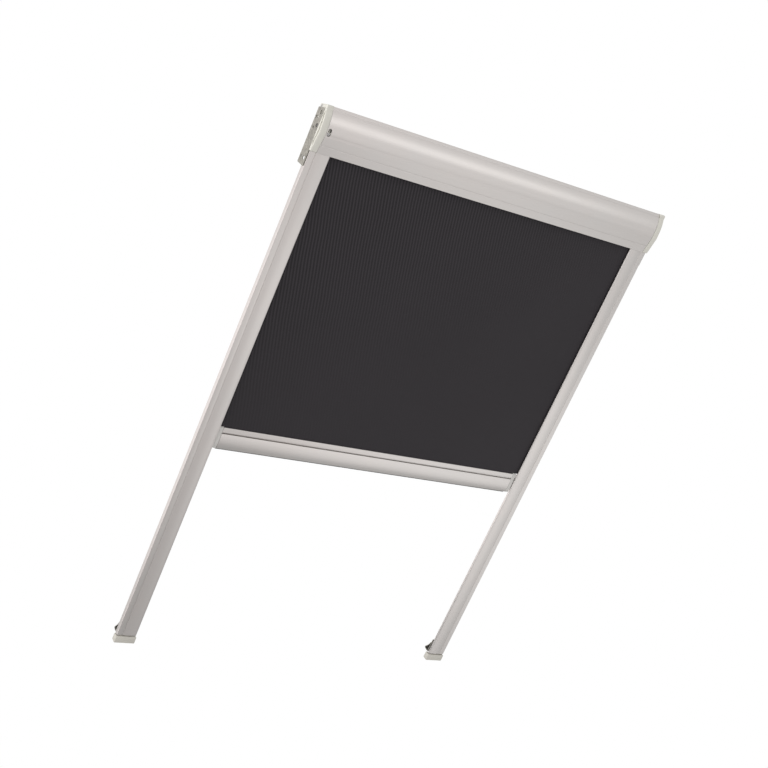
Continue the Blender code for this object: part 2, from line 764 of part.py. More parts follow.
def make_end_cap(side, materials):
    """Moulded end cap: bowed face, hub for the roller, and a tongue into the rail."""
    name = f"cassette_end_cap_{side_name(side)}"
    outline = rounded(cap_corners())
    rings = [[on_axis("X", a, b, across(side, CAP_INNER + GAP)) for a, b in outline]]
    for i in range(CAP_EDGE_STEPS + 1):
        angle = pi / 2 * i / CAP_EDGE_STEPS
        inset = offset(outline, CAP_EDGE * (1 - cos(angle)), closed=True)
        x = across(side, plate_outer() - CAP_EDGE * (1 - sin(angle)))
        rings.append([on_axis("X", a, b, x) for a, b in inset])
    cap = loft(name, rings, materials["cap_plastic"])
    plug_start = across(side, CAP_INNER - CAP_PLUG_DEPTH)
    plug_end = across(side, CAP_INNER + GAP + CAP_LAP)
    hub = turned(f"cut_hub_{side_name(side)}", [(CAP_HUB_RADIUS, plug_start), (CAP_HUB_RADIUS, plug_end)],
                 (AXIS_BACK, AXIS_UP), materials["cap_plastic"])
    boss = box(f"cut_boss_{side_name(side)}",
               (plug_start, boss_front(), COVER_SCREW_UP - COVER_BOSS_REACH),
               (plug_end, AXIS_BACK, COVER_SCREW_UP + COVER_BOSS_REACH), materials["cap_plastic"])
    chamber_in = GROOVE_AT + RAIL_WALL / 2 + GAP
    chamber_out = RAIL_WIDTH - RAIL_WALL - GAP
    tongue_in = max(chamber_in, CAP_INNER + 2 * GAP)
    tongue = box(f"cut_tongue_{side_name(side)}",
                 (across(side, tongue_in), channel_front() - RAIL_COVE + GROOVE_DEPTH + GAP, -CAP_TONGUE),
                 (across(side, chamber_out), channel_back() - GAP, CAP_LAP), materials["cap_plastic"])
    for piece in (hub, boss, tongue):
        combine(cap, piece, "UNION")
    step = box(f"cut_plate_seat_{side_name(side)}",
               (across(side, RAIL_WIDTH), PLATE_FRONT - GAP, -GAP),
               (across(side, plate_outer() + CAP_EDGE), CASSETTE_BACK * 2, CASSETTE_HEIGHT * 2),
               materials["cap_plastic"])
    bore = turned(f"cut_bore_{side_name(side)}",
                  [(SHAFT_RADIUS + GAP, across(side, CAP_INNER - CAP_PLUG_DEPTH * 2)),
                   (SHAFT_RADIUS + GAP, across(side, plate_outer() * 2))],
                  (AXIS_BACK, AXIS_UP), materials["cap_plastic"], steps=BORE_STEPS)
    pocket = prism(f"cut_pocket_{side_name(side)}", [cap_pocket()], "X",
                   across(side, plate_outer() - CAP_POCKET_DEPTH), across(side, plate_outer() * 2),
                   materials["cap_plastic"])
    cutters = [step, bore, pocket]
    for number, place in enumerate(screw_ports()):
        hole = (PORT_SCREW_RADIUS + GAP, PORT_SCREW_HEAD + GAP)
        mouth = RAIL_WIDTH - PORT_SCREW_HEAD + PORT_SCREW_RADIUS
        cutters.append(turned(
            f"cut_screw_{side_name(side)}_{number}",
            [(hole[0], across(side, 0)), (hole[0], across(side, mouth - GAP)),
             (hole[1], across(side, RAIL_WIDTH)), (hole[1], across(side, plate_outer() * 2))],
            place, materials["cap_plastic"], steps=SCREW_STEPS))
    if side < 0:
        cutters.append(turned(
            "cut_boss_hole",
            [(COVER_SCREW_RADIUS + GAP, boss_front() - GAP),
             (COVER_SCREW_RADIUS + GAP, boss_front() + COVER_SCREW_LENGTH)],
            (cover_screw_x(), COVER_SCREW_UP), materials["cap_plastic"], axis="Y", steps=SCREW_STEPS))
    for cutter in cutters:
        combine(cap, cutter, "DIFFERENCE")
    return cap


def make_head_bracket(side, materials):
    """Punched steel plate that the window's frame carries."""
    edge = rounded([
        (PLATE_FRONT, -PLATE_DROP, PLATE_CORNER),
        (PLATE_BACK, -PLATE_DROP, PLATE_CORNER),
        (PLATE_BACK, PLATE_TOP_BACK, PLATE_CORNER),
        (PLATE_FRONT, PLATE_TOP, PLATE_CORNER),
    ])
    middle = (PLATE_HOLE_BACK + PLATE_BACK) / 2
    holes = [
        circle((PLATE_HOLE_BACK, PLATE_HOLE_UP), PLATE_HOLE_RADIUS),
        circle((PLATE_HOLE_BACK, -PLATE_HOLE_DOWN), PLATE_HOLE_RADIUS),
        circle((AXIS_BACK, AXIS_UP), SHAFT_RADIUS + GAP),
        slot((middle, PLATE_SLOT_UP), PLATE_SLOT_LENGTH, PLATE_SLOT_WIDTH),
        circle((middle, (PLATE_SLOT_UP + PLATE_HOLE_DOWN) / 2), PLATE_PILOT_RADIUS),
        circle((middle + PLATE_PILOT_RADIUS, -PLATE_HOLE_DOWN), PLATE_PILOT_RADIUS),
    ]
    return prism(f"head_bracket_{side_name(side)}", [edge] + holes, "X",
                 across(side, plate_outer() - PLATE_THICKNESS), across(side, plate_outer()),
                 materials["galvanised"])


def make_end_cap_screws(side, materials):
    """Two countersunk screws that hold an end cap to the screw ports."""
    head = RAIL_WIDTH - GAP
    neck = head - PORT_SCREW_HEAD + PORT_SCREW_RADIUS
    tip = head - PORT_SCREW_LENGTH
    return [
        turned(f"end_cap_screw_{side_name(side)}_{level}",
               [(PORT_SCREW_TIP, across(side, tip)),
                (PORT_SCREW_RADIUS, across(side, tip + PORT_SCREW_RADIUS)),
                (PORT_SCREW_RADIUS, across(side, neck)), (PORT_SCREW_HEAD, across(side, head))],
               place, materials["screw_steel"], steps=SCREW_STEPS)
        for level, place in zip(("top", "bottom"), screw_ports())
    ]


def make_cover_screw(materials):
    """Pan-head screw in the cover's slot, seated on the boss of the left end cap."""
    seat = boss_front() - GAP
    low = seat - COVER_SCREW_HEAD_HEIGHT
    tip = seat + COVER_SCREW_LENGTH - GAP
    return turned(
        "cover_screw",
        [(COVER_SCREW_HEAD_RADIUS - 2 * COVER_SCREW_EDGE, low),
         (COVER_SCREW_HEAD_RADIUS, low + 2 * COVER_SCREW_EDGE), (COVER_SCREW_HEAD_RADIUS, seat),
         (COVER_SCREW_RADIUS, seat), (COVER_SCREW_RADIUS, tip - COVER_SCREW_RADIUS),
         (COVER_SCREW_EDGE, tip)],
        (cover_screw_x(), COVER_SCREW_UP), materials["screw_steel"], axis="Y", steps=BORE_STEPS)


def make_rail(side, materials):
    """Side rail, its pile strip and the rivet hole at its foot."""
    sections = [[(across(side, u), v) for u, v in loop] for loop in rail_section()]
    name = side_name(side)
    rail = prism(f"side_rail_{name}", sections, "Z", -RAIL_LENGTH, -GAP, materials["aluminium"])
    bore = RIVET_RADIUS + GAP
    hole = turned(f"cut_rivet_{name}", [(bore, channel_back() - RAIL_WALL / 2), (bore, RAIL_DEPTH * 2)],
                  (across(side, rivet_u()), rivet_up()), materials["aluminium"], axis="Y",
                  steps=SCREW_STEPS)
    combine(rail, hole, "DIFFERENCE")
    pile_in = LIP_WIDTH + 3 * GAP
    pile = box(f"rail_light_seal_{name}",
               (across(side, pile_in), channel_front() + GAP, -RAIL_LENGTH + FOOT_STOP + 2 * GAP),
               (across(side, pile_in + PILE_WIDTH), FABRIC_BACK - FABRIC_THICKNESS / 2 - GAP, -2 * GAP),
               materials["pile"])
    return [rail, pile]


def rivet_u():
    """u of the rivet, in the closed chamber of the rail."""
    return CLIP_START + CLIP_WIDTH - RIVET_HEAD_RADIUS - GAP


def rivet_up():
    """Z of the rivet, above the tongue of the clip."""
    return -RAIL_LENGTH + (CLIP_TONGUE_UP + CLIP_LEG) / 2


def make_foot_cap(side, materials):
    """Moulded cap that plugs into the rail, past a narrower neck."""
    name = side_name(side)
    plastic = materials["foot_plastic"]
    top = -RAIL_LENGTH - FOOT_NECK
    front, back = channel_front() + GAP, channel_back() - GAP
    rib_in = GROOVE_AT - RAIL_WALL / 2 - GAP
    rib_out = GROOVE_AT + RAIL_WALL / 2 + GAP
    cap = box(f"rail_foot_cap_{name}",
              (across(side, -FOOT_CAP_SIDE), -FOOT_CAP_PROUD, top - FOOT_CAP_HEIGHT),
              (across(side, RAIL_WIDTH + FOOT_CAP_SIDE), RAIL_DEPTH, top), plastic)
    soften(cap, FOOT_CAP_EDGE)
    low = top - FOOT_NECK / 2
    neck = box(f"cut_neck_{name}", (across(side, FOOT_NECK_INSET), FOOT_NECK_INSET, low),
               (across(side, RAIL_WIDTH - FOOT_NECK_INSET), RAIL_DEPTH - FOOT_NECK_INSET,
                -RAIL_LENGTH - GAP), plastic)
    peg = box(f"cut_peg_{name}", (across(side, rib_out), front, low),
              (across(side, RAIL_WIDTH - RAIL_WALL - GAP), back, -RAIL_LENGTH + FOOT_PEG), plastic)
    stop = box(f"cut_stop_{name}", (across(side, BACK_LIP_SETBACK), front, low),
               (across(side, rib_in), back, -RAIL_LENGTH + FOOT_STOP), plastic)
    for piece in (neck, peg, stop):
        combine(cap, piece, "UNION")
    return cap


def make_foot_clip(side, materials):
    """Folded steel strip: a leg on the rail, a nose behind it and a kneed tongue back up."""
    half = CLIP_THICKNESS / 2
    leg = RAIL_DEPTH + GAP + half
    line = rounded([
        (leg, -RAIL_LENGTH + CLIP_LEG, 0),
        (leg, -RAIL_LENGTH - CLIP_DROP, CLIP_BEND),
        (CLIP_NOSE_BACK, -RAIL_LENGTH - CLIP_NOSE_DOWN, CLIP_BEND),
        (CLIP_KNEE_BACK, -RAIL_LENGTH + CLIP_KNEE_UP, CLIP_KNEE_BEND),
        (leg + CLIP_THICKNESS + GAP, -RAIL_LENGTH + CLIP_TONGUE_UP, 0),
    ], closed=False)
    outline = offset(line, half) + list(reversed(offset(line, -half)))
    clip = prism(f"foot_clip_{side_name(side)}", [outline], "X",
                 across(side, CLIP_START), across(side, CLIP_START + CLIP_WIDTH), materials["galvanised"])
    hole = turned(f"cut_clip_hole_{side_name(side)}",
                  [(RIVET_RADIUS + GAP, RAIL_DEPTH - RAIL_WALL), (RIVET_RADIUS + GAP, leg + CLIP_THICKNESS)],
                  (across(side, rivet_u()), rivet_up()), materials["galvanised"], axis="Y",
                  steps=SCREW_STEPS)
    combine(clip, hole, "DIFFERENCE")
    return clip


def make_rivet(side, materials):
    """Blind rivet through the leg of the clip into the chamber of the rail."""
    seat = RAIL_DEPTH + 2 * GAP + CLIP_THICKNESS
    tail = channel_back() - GAP
    top = seat + RIVET_HEAD_HEIGHT
    return turned(f"foot_clip_rivet_{side_name(side)}",
                  [(RIVET_RADIUS, tail - RIVET_RADIUS), (RIVET_BULB_RADIUS, tail - RIVET_BULB_HEIGHT),
                   (RIVET_BULB_RADIUS, tail), (RIVET_RADIUS, tail), (RIVET_RADIUS, seat),
                   (RIVET_HEAD_RADIUS, seat), (RIVET_HEAD_RADIUS, top - RIVET_CROWN_HEIGHT),
                   (RIVET_CROWN_RADIUS, top)],
                  (across(side, rivet_u()), rivet_up()), materials["screw_steel"], axis="Y",
                  steps=SCREW_STEPS)


def roller_end(side):
    """X of an end of the roller's tube."""
    return across(side, CAP_INNER - CAP_PLUG_DEPTH) - side * ROLLER_END_GAP


def make_roller(materials):
    """Tube with its plugs, and the fabric wound on it."""
    axis = (AXIS_BACK, AXIS_UP)
    bore = TUBE_RADIUS - TUBE_WALL
    left, right = roller_end(-1), roller_end(1)
    tube = turned("roller_tube", [(TUBE_RADIUS, left), (TUBE_RADIUS, right), (bore, right), (bore, left)],
                  axis, materials["roller_aluminium"], bored=True)
    wound = across(1, FABRIC_IN_RAIL)
    roll = turned("fabric_roll",
                  [(ROLL_RADIUS, -wound), (ROLL_RADIUS, wound),
                   (TUBE_RADIUS + GAP, wound), (TUBE_RADIUS + GAP, -wound)],
                  axis, materials["fabric"], bored=True, steps=ROLL_STEPS)
    plugs = [make_roller_plug(side, materials) for side in (-1, 1)]
    start = spring_end() + GAP
    stop = start + DRIVE_PLUG_LENGTH
    outer, inner = bore - GAP, SHAFT_RADIUS + GAP
    drive = turned("spring_drive_plug", [(outer, start), (outer, stop), (inner, stop), (inner, start)],
                   axis, materials["roller_plastic"], bored=True)
    return [tube, roll, drive] + plugs


def make_roller_plug(side, materials):
    """Flanged bearing in the end of the tube."""
    end = roller_end(side)
    bore = SHAFT_RADIUS + GAP
    body = TUBE_RADIUS - TUBE_WALL - GAP
    flange = end + side * (PLUG_FLANGE + GAP)
    seat = end + side * GAP
    inner = end - side * PLUG_LENGTH
    return turned(f"roller_plug_{side_name(side)}",
                  [(body, inner), (body, seat), (TUBE_RADIUS, seat), (TUBE_RADIUS, flange),
                   (bore, flange), (bore, inner)],
                  (AXIS_BACK, AXIS_UP), materials["roller_plastic"], bored=True)


def anchor_start():
    """X of the outer end of the spring's fixed anchor."""
    return roller_end(-1) + PLUG_LENGTH + 3 * GAP


def spring_start():
    return anchor_start() + ANCHOR_LENGTH + GAP


def spring_end():
    return spring_start() + SPRING_LENGTH


def make_spring_motor(materials):
    """Fixed shaft, anchor and torsion spring, and the pin at the far end."""
    axis = (AXIS_BACK, AXIS_UP)
    outer = across(-1, plate_outer() - GAP)
    shaft_end = spring_end() + DRIVE_PLUG_LENGTH
    narrow = SHAFT_RADIUS - SHAFT_CHAMFER
    shaft = turned("spring_shaft",
                   [(narrow, outer), (SHAFT_RADIUS, outer + SHAFT_CHAMFER),
                    (SHAFT_RADIUS, shaft_end - SHAFT_CHAMFER), (narrow, shaft_end)],
                   axis, materials["shaft_steel"], steps=SHAFT_STEPS)
    anchor = turned("spring_anchor",
                    [(SPRING_RADIUS + SPRING_WIRE / 2, anchor_start()),
                     (SPRING_RADIUS + SPRING_WIRE / 2, anchor_start() + ANCHOR_LENGTH),
                     (SHAFT_RADIUS + GAP, anchor_start() + ANCHOR_LENGTH),
                     (SHAFT_RADIUS + GAP, anchor_start())],
                    axis, materials["roller_plastic"], bored=True, steps=ANCHOR_STEPS)
    pin_end = across(1, plate_outer() - GAP)
    pin_tip = pin_end - IDLE_PIN_REACH
    pin = turned("idle_pin",
                 [(narrow, pin_end), (SHAFT_RADIUS, pin_end - SHAFT_CHAMFER),
                  (SHAFT_RADIUS, pin_tip + SHAFT_CHAMFER), (narrow, pin_tip)],
                 axis, materials["shaft_steel"], steps=SHAFT_STEPS)
    return [shaft, anchor, make_torsion_spring(materials), pin]


def make_torsion_spring(materials):
    """Wound wire from the anchor to the plug that the tube carries round."""
    count = SPRING_TURNS * SPRING_FACETS
    run = SPRING_LENGTH - GAP - SPRING_WIRE
    first = spring_start() + SPRING_WIRE / 2
    points = [
        (first + run * i / count,
         AXIS_BACK + SPRING_RADIUS * cos(2 * pi * i / SPRING_FACETS),
         AXIS_UP + SPRING_RADIUS * sin(2 * pi * i / SPRING_FACETS))
        for i in range(count + 1)
    ]
    least = min(
        hypot(*(a - b for a, b in zip(points[i], points[j])))
        for i in range(SPRING_FACETS)
        for j in range(i + SPRING_FACETS // 2, i + 2 * SPRING_FACETS)
    ) - SPRING_WIRE
    print(f"torsion spring: least gap between its turns {least / MM:.2f} mm")
    curve = bpy.data.curves.new("torsion_spring", "CURVE")
    curve.dimensions = "3D"
    curve.bevel_depth = SPRING_WIRE / 2
    curve.bevel_resolution = 1
    curve.use_fill_caps = True
    curve.materials.append(materials["spring_steel"])
    spline = curve.splines.new("POLY")
    spline.points.add(count)
    for point, place in zip(spline.points, points):
        point.co = (*place, 1.0)
    spring = bpy.data.objects.new("torsion_spring", curve)
    bpy.context.collection.objects.link(spring)
    return spring


def make_fabric(materials):
    """Fabric from the roll, over the nose and down between the rails into the bar."""
    hem = -BAR_DROP - FABRIC_TUCK
    margin_end = -BAR_DROP + 3 * GAP
    path = fabric_path() + [(FABRIC_BACK, margin_end), (FABRIC_BACK, hem)]
    wide = across(1, FABRIC_IN_RAIL)
    narrow = bar_end() - 2 * GAP
    columns = (-wide, -narrow, narrow, wide)
    bm = bmesh.new()
    faces_of = []
    for shift in (FABRIC_THICKNESS / 2, -FABRIC_THICKNESS / 2):
        rows = [[bm.verts.new((x, y, z)) for x in columns] for y, z in offset(path, shift)]
        faces_of.append(rows)
    front, back = faces_of
    last = len(path) - 1
    for rows in (front, back):
        for i in range(last):
            strips = range(3) if i < last - 1 else (1,)
            for j in strips:
                bm.faces.new((rows[i][j], rows[i][j + 1], rows[i + 1][j + 1], rows[i + 1][j]))
    edge = [(0, 0), (0, 1), (0, 2), (0, 3)]
    edge += [(i, 3) for i in range(1, last)] + [(last - 1, 2), (last, 2), (last, 1), (last - 1, 1)]
    edge += [(i, 0) for i in range(last - 1, 0, -1)]
    for (i, j), (k, m) in zip(edge, edge[1:] + edge[:1]):
        bm.faces.new((front[i][j], front[k][m], back[k][m], back[i][j]))
    loose = [vert for vert in bm.verts if not vert.link_faces]
    bmesh.ops.delete(bm, geom=loose, context="VERTS")
    return finish("blackout_fabric", bm, materials["fabric"])


def bar_end():
    """X of the right end of the bar's aluminium."""
    return CLEAR_WIDTH / 2 - BAR_END_INSET


def make_bar(materials):
    """Extruded bar with the keder that holds the hem and the seal under it."""
    end = bar_end()
    sections = [moved(loop, 0, -BAR_DROP) for loop in bar_section()]
    bar = prism("bottom_bar", sections, "X", -end, end, materials["aluminium"])
    mouth = FABRIC_THICKNESS / 2 + GAP
    keder_back = FABRIC_BACK + mouth + GAP + KEDER_RADIUS
    keder_down = -BAR_DROP - KEDER_MOUTH - KEDER_CHAMBER / 2
    keder = turned("keder_rod", [(KEDER_RADIUS, -end + GAP), (KEDER_RADIUS, end - GAP)],
                   (keder_back, keder_down), materials["roller_plastic"], steps=SCREW_STEPS)
    low = -BAR_DROP - BAR_HEIGHT
    seal = seal_back()
    base = SEAL_CAVITY / 2 - GAP
    fin = SEAL_SLOT / 2 - GAP
    strip = prism("bar_seal", [[
        (seal - fin, low - SEAL_PROUD), (seal + fin, low - SEAL_PROUD), (seal + fin, low + SEAL_LIP + GAP),
        (seal + base, low + SEAL_LIP + GAP), (seal + base, low + SEAL_LIP + SEAL_CAVITY_HEIGHT - GAP),
        (seal - base, low + SEAL_LIP + SEAL_CAVITY_HEIGHT - GAP), (seal - base, low + SEAL_LIP + GAP),
        (seal - fin, low + SEAL_LIP + GAP),
    ]], "X", -end + GAP, end - GAP, materials["seal_rubber"])
    return [bar, keder, strip]


def tongue_front():
    """Y of the front of the tongue that runs in the rail."""
    return channel_back() - GAP - TONGUE_THICKNESS - 2 * GAP


def make_bar_end(side, materials):
    """End cap of the bar, its shoe in the rail and the spring that brakes it."""
    name = side_name(side)
    start = across(side, -BAR_END_INSET + GAP)
    stop = across(side, -BAR_CAP_SHY)
    corners = bar_corners(groove=False) + [(BAR_BACK, 0, BAR_EDGE), (BAR_BACK, -BAR_HEIGHT, BAR_EDGE)]
    outline = moved(rounded(corners), 0, -BAR_DROP)
    cap = prism(f"bar_end_cap_{name}", [outline], "X", start, stop, materials["cap_plastic"])
    middle = -BAR_DROP - SHOE_DOWN - SHOE_HEIGHT / 2
    front = tongue_front()
    tongue = box(f"cut_bar_tongue_{name}",
                 (across(side, -BAR_CAP_SHY * 2), front, middle - TONGUE_HEIGHT / 2),
                 (across(side, TONGUE_REACH), front + TONGUE_THICKNESS, middle + TONGUE_HEIGHT / 2),
                 materials["cap_plastic"])
    plug_top = -BAR_DROP - KEDER_MOUTH - KEDER_CHAMBER - BAR_WALL - GAP
    plug_front = BAR_FRONT + BAR_GROOVE_DEPTH + BAR_WALL + GAP
    plug = box(f"cut_bar_plug_{name}",
               (across(side, -BAR_END_INSET - BAR_PLUG), plug_front, plug_top - BAR_PLUG_HEIGHT),
               (across(side, -BAR_END_INSET + 2 * GAP), BAR_BACK - BAR_WALL - GAP, plug_top),
               materials["cap_plastic"])
    combine(cap, tongue, "UNION")
    combine(cap, plug, "UNION")
    return [cap, make_shoe(side, middle, materials), make_brake(side, middle, materials)]


def shoe_front():
    """Y of the front of the shoe, behind the brake spring."""
    return channel_front() + GAP + BRAKE_BOW + BRAKE_THICKNESS + GAP


def make_shoe(side, middle, materials):
    """Slider in the rail, slotted for the tongue."""
    name = side_name(side)
    end = GROOVE_AT - RAIL_WALL / 2 - GAP
    shoe = box(f"guide_shoe_{name}",
               (across(side, SHOE_START), shoe_front(), middle - SHOE_HEIGHT / 2),
               (across(side, end), channel_back() - GAP, middle + SHOE_HEIGHT / 2),
               materials["shoe_plastic"])
    front = tongue_front()
    opening = box(f"cut_shoe_slot_{name}",
                  (across(side, 0), front - GAP, middle - TONGUE_HEIGHT / 2 - GAP),
                  (across(side, TONGUE_REACH + GAP), front + TONGUE_THICKNESS + GAP,
                   middle + TONGUE_HEIGHT / 2 + GAP),
                  materials["shoe_plastic"])
    combine(shoe, opening, "DIFFERENCE")
    return shoe


def make_brake(side, middle, materials):
    """Bowed leaf spring between the shoe and the front wall of the rail."""
    reach = SHOE_HEIGHT / 2 - BRAKE_SHY
    rest = channel_front() + GAP + BRAKE_THICKNESS / 2
    line = [
        (rest + BRAKE_BOW * (2 * i / BRAKE_STEPS - 1) ** 2, middle - reach + 2 * reach * i / BRAKE_STEPS)
        for i in range(BRAKE_STEPS + 1)
    ]
    outline = offset(line, BRAKE_THICKNESS / 2) + list(reversed(offset(line, -BRAKE_THICKNESS / 2)))
    centre = (SHOE_START + GROOVE_AT - RAIL_WALL / 2 - GAP) / 2
    return prism(f"brake_spring_{side_name(side)}", [outline], "X", across(side, centre - BRAKE_WIDTH / 2),
                 across(side, centre + BRAKE_WIDTH / 2), materials["spring_steel"])


def make_materials():
    return {
        "aluminium": paint("aluminium", (0.60, 0.59, 0.57), 0.38, 0.9),
        "roller_aluminium": paint("roller_aluminium", (0.62, 0.62, 0.62), 0.35, 0.9),
        "cap_plastic": paint("cap_plastic", (0.58, 0.56, 0.50), 0.5),
        "foot_plastic": paint("foot_plastic", (0.51, 0.49, 0.43), 0.5),
        "galvanised": paint("galvanised", (0.31, 0.31, 0.29), 0.45, 0.85),
        "screw_steel": paint("screw_steel", (0.25, 0.25, 0.25), 0.35, 0.9),
        "shaft_steel": paint("shaft_steel", (0.45, 0.45, 0.45), 0.3, 0.95),
        "spring_steel": paint("spring_steel", (0.12, 0.12, 0.13), 0.35, 0.9),
        "fabric": paint("fabric", (0.030, 0.028, 0.033), 0.85),
        "pile": paint("pile", (0.12, 0.12, 0.12), 0.95),
        "seal_rubber": paint("seal_rubber", (0.05, 0.05, 0.05), 0.7),
        "shoe_plastic": paint("shoe_plastic", (0.06, 0.06, 0.06), 0.4),
        "roller_plastic": paint("roller_plastic", (0.75, 0.74, 0.70), 0.4),
    }


def group(name, location, members):
    """Empty that carries its members and keeps them where they were modelled."""
    empty = bpy.data.objects.new(name, None)
    empty.location = location
    bpy.context.collection.objects.link(empty)
    for obj in members:
        obj.parent = empty
        obj.data.transform(Matrix.Translation(-Vector(location)))
    return empty


def main():
    for obj in list(bpy.data.objects):
        bpy.data.objects.remove(obj, do_unlink=True)
    materials = make_materials()
    fixed = make_cassette(materials) + make_spring_motor(materials)
    sliding = make_bar(materials)
    for side in (-1, 1):
        fixed += [make_end_cap(side, materials), make_head_bracket(side, materials)]
        fixed += make_rail(side, materials)
        fixed += [make_foot_cap(side, materials), make_foot_clip(side, materials)]
        fixed.append(make_rivet(side, materials))
        fixed += make_end_cap_screws(side, materials)
        sliding += make_bar_end(side, materials)
    fixed += [make_cover_screw(materials), make_fabric(materials)]
    group("frame", (0, 0, 0), fixed)
    group("roller", (0, AXIS_BACK, AXIS_UP), make_roller(materials))
    group("bar", (0, 0, -BAR_DROP), sliding)


main()
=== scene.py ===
"""Looks of a roof window's blackout blind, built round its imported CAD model.

The aluminium, moulded and pressed pieces are the model's own, with eased edges. The
cloth, the winding on the roller, the pile strips, the torsion spring and the fasteners
are built here.

+X is to the right seen from the room, +Y points out to the glass and +Z up to the head
of the window. Everything is in metres.
"""

import json
from math import acos, atan2, cos, pi, radians, sin

import bmesh
import bpy
from bpy.props import FloatProperty, FloatVectorProperty, IntProperty, PointerProperty
from mathutils import Matrix, Vector

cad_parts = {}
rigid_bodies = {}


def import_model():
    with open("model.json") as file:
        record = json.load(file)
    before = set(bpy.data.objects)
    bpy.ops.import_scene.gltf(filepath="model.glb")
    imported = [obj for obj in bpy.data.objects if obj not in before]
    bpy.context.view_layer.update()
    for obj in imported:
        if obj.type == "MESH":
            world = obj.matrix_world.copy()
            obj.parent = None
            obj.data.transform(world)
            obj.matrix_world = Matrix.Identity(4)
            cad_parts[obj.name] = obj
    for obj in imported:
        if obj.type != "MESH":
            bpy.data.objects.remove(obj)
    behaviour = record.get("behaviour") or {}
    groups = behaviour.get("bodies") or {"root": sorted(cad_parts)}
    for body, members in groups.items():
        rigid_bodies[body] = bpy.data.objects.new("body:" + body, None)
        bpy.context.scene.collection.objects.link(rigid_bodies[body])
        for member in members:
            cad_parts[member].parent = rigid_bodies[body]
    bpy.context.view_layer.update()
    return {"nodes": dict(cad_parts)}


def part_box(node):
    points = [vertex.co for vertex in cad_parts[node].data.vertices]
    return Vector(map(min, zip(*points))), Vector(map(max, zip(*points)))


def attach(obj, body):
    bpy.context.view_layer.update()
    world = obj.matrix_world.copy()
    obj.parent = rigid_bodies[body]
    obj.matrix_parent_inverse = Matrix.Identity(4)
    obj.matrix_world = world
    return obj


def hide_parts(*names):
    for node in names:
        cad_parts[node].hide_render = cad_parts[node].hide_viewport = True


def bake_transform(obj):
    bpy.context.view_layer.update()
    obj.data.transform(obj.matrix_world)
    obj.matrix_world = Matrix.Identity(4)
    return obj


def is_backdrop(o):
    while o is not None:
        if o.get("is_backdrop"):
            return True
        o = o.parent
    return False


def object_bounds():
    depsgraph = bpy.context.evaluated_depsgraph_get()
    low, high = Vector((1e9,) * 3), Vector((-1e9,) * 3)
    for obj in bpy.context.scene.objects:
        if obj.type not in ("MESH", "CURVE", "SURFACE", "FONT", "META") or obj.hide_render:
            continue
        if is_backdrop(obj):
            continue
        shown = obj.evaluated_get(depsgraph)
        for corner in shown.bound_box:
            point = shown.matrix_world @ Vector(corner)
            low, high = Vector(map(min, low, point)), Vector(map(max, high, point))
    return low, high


bl_info = {
    "name": "Roof window blackout blind",
    "version": (1, 0, 0),
    "blender": (4, 5, 0),
    "location": "3D View > Sidebar > Blind",
    "description": "Pieces, finishes and stage of a roof window's blackout blind",
    "category": "Object",
}

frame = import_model()

MM = 0.001
SIDES = ("left", "right")
WELD = 0.002 * MM  # doubles of the model's loose triangles
NEAR = 0.05 * MM  # how far a point may lie from the plane that it is looked for in
FLAT = radians(0.4)  # facets that lie in one plane
CREASE = radians(32.0)  # sharper edges are eased, or stay sharp


def size(name, description, default, most=0.1):
    """Setting that is a length."""
    return FloatProperty(
        name=name, description=description, default=default * MM,
        min=0.01 * MM, max=most, unit="LENGTH", precision=5,
    )


def colour(name, description, default):
    """Setting that is a colour."""
    return FloatVectorProperty(
        name=name, description=description, default=default,
        size=3, min=0.0, max=1.0, subtype="COLOR",
    )


def brightness(name, description, default):
    """Setting that is the brightness of a lamp."""
    return FloatProperty(name=name, description=description, default=default, min=0.0, max=10.0)


class BlindSizes(bpy.types.PropertyGroup):
    """Sizes of what the model leaves plain."""

    extrusion_edge: size("Extrusion edge", "Rounding of the aluminium", 0.15)
    moulded_edge: size("Moulded edge", "Rounding of the plastic", 0.2)
    pressed_edge: size("Pressed edge", "Rounding of the steel", 0.12)
    fine_edge: size("Fine edge", "Rounding of the bar and the shoes", 0.1)
    leaf_edge: size("Leaf edge", "Rounding of the leaf springs", 0.05)
    cloth: size("Cloth", "Thickness of the fabric", 0.30)
    nose: size("Guide nose", "Radius of the nose that the fabric bends over", 1.5)
    clearance: size("Clearance", "Gap between pieces that touch", 0.3)
    cloth_row: size("Cloth row", "Length between two rows of its mesh", 6.0)
    cloth_column: size("Cloth column", "Width between two columns of its mesh", 24.0)
    tuft_gap: size("Tuft gap", "Distance between two tufts", 1.15)
    tuft_radius: size("Tuft radius", "Radius of a tuft at its root", 0.42)
    spring_wire: size("Spring wire", "Thickness of the spring's wire", 1.5)
    spring_turns: IntProperty(
        name="Spring turns", description="Turns of the spring", default=40, min=3, max=120,
    )
    crown: FloatProperty(
        name="Crown", description="Crown of the rails' faces, as a share of the model's dish",
        default=0.7, min=-1.0, max=1.0,
    )
    seam: size("Seam", "Width of the seams round the caps", 0.8)
    pocket: size("Cap pocket", "Depth of the pocket in the cassette's caps", 1.6)
    pan_head: size("Pan head", "Height of the cover screw's head", 1.2)
    recess: size("Recess", "Width of a cross recess's arms", 0.62)
    recess_depth: size("Recess depth", "Depth of a cross recess", 0.9)


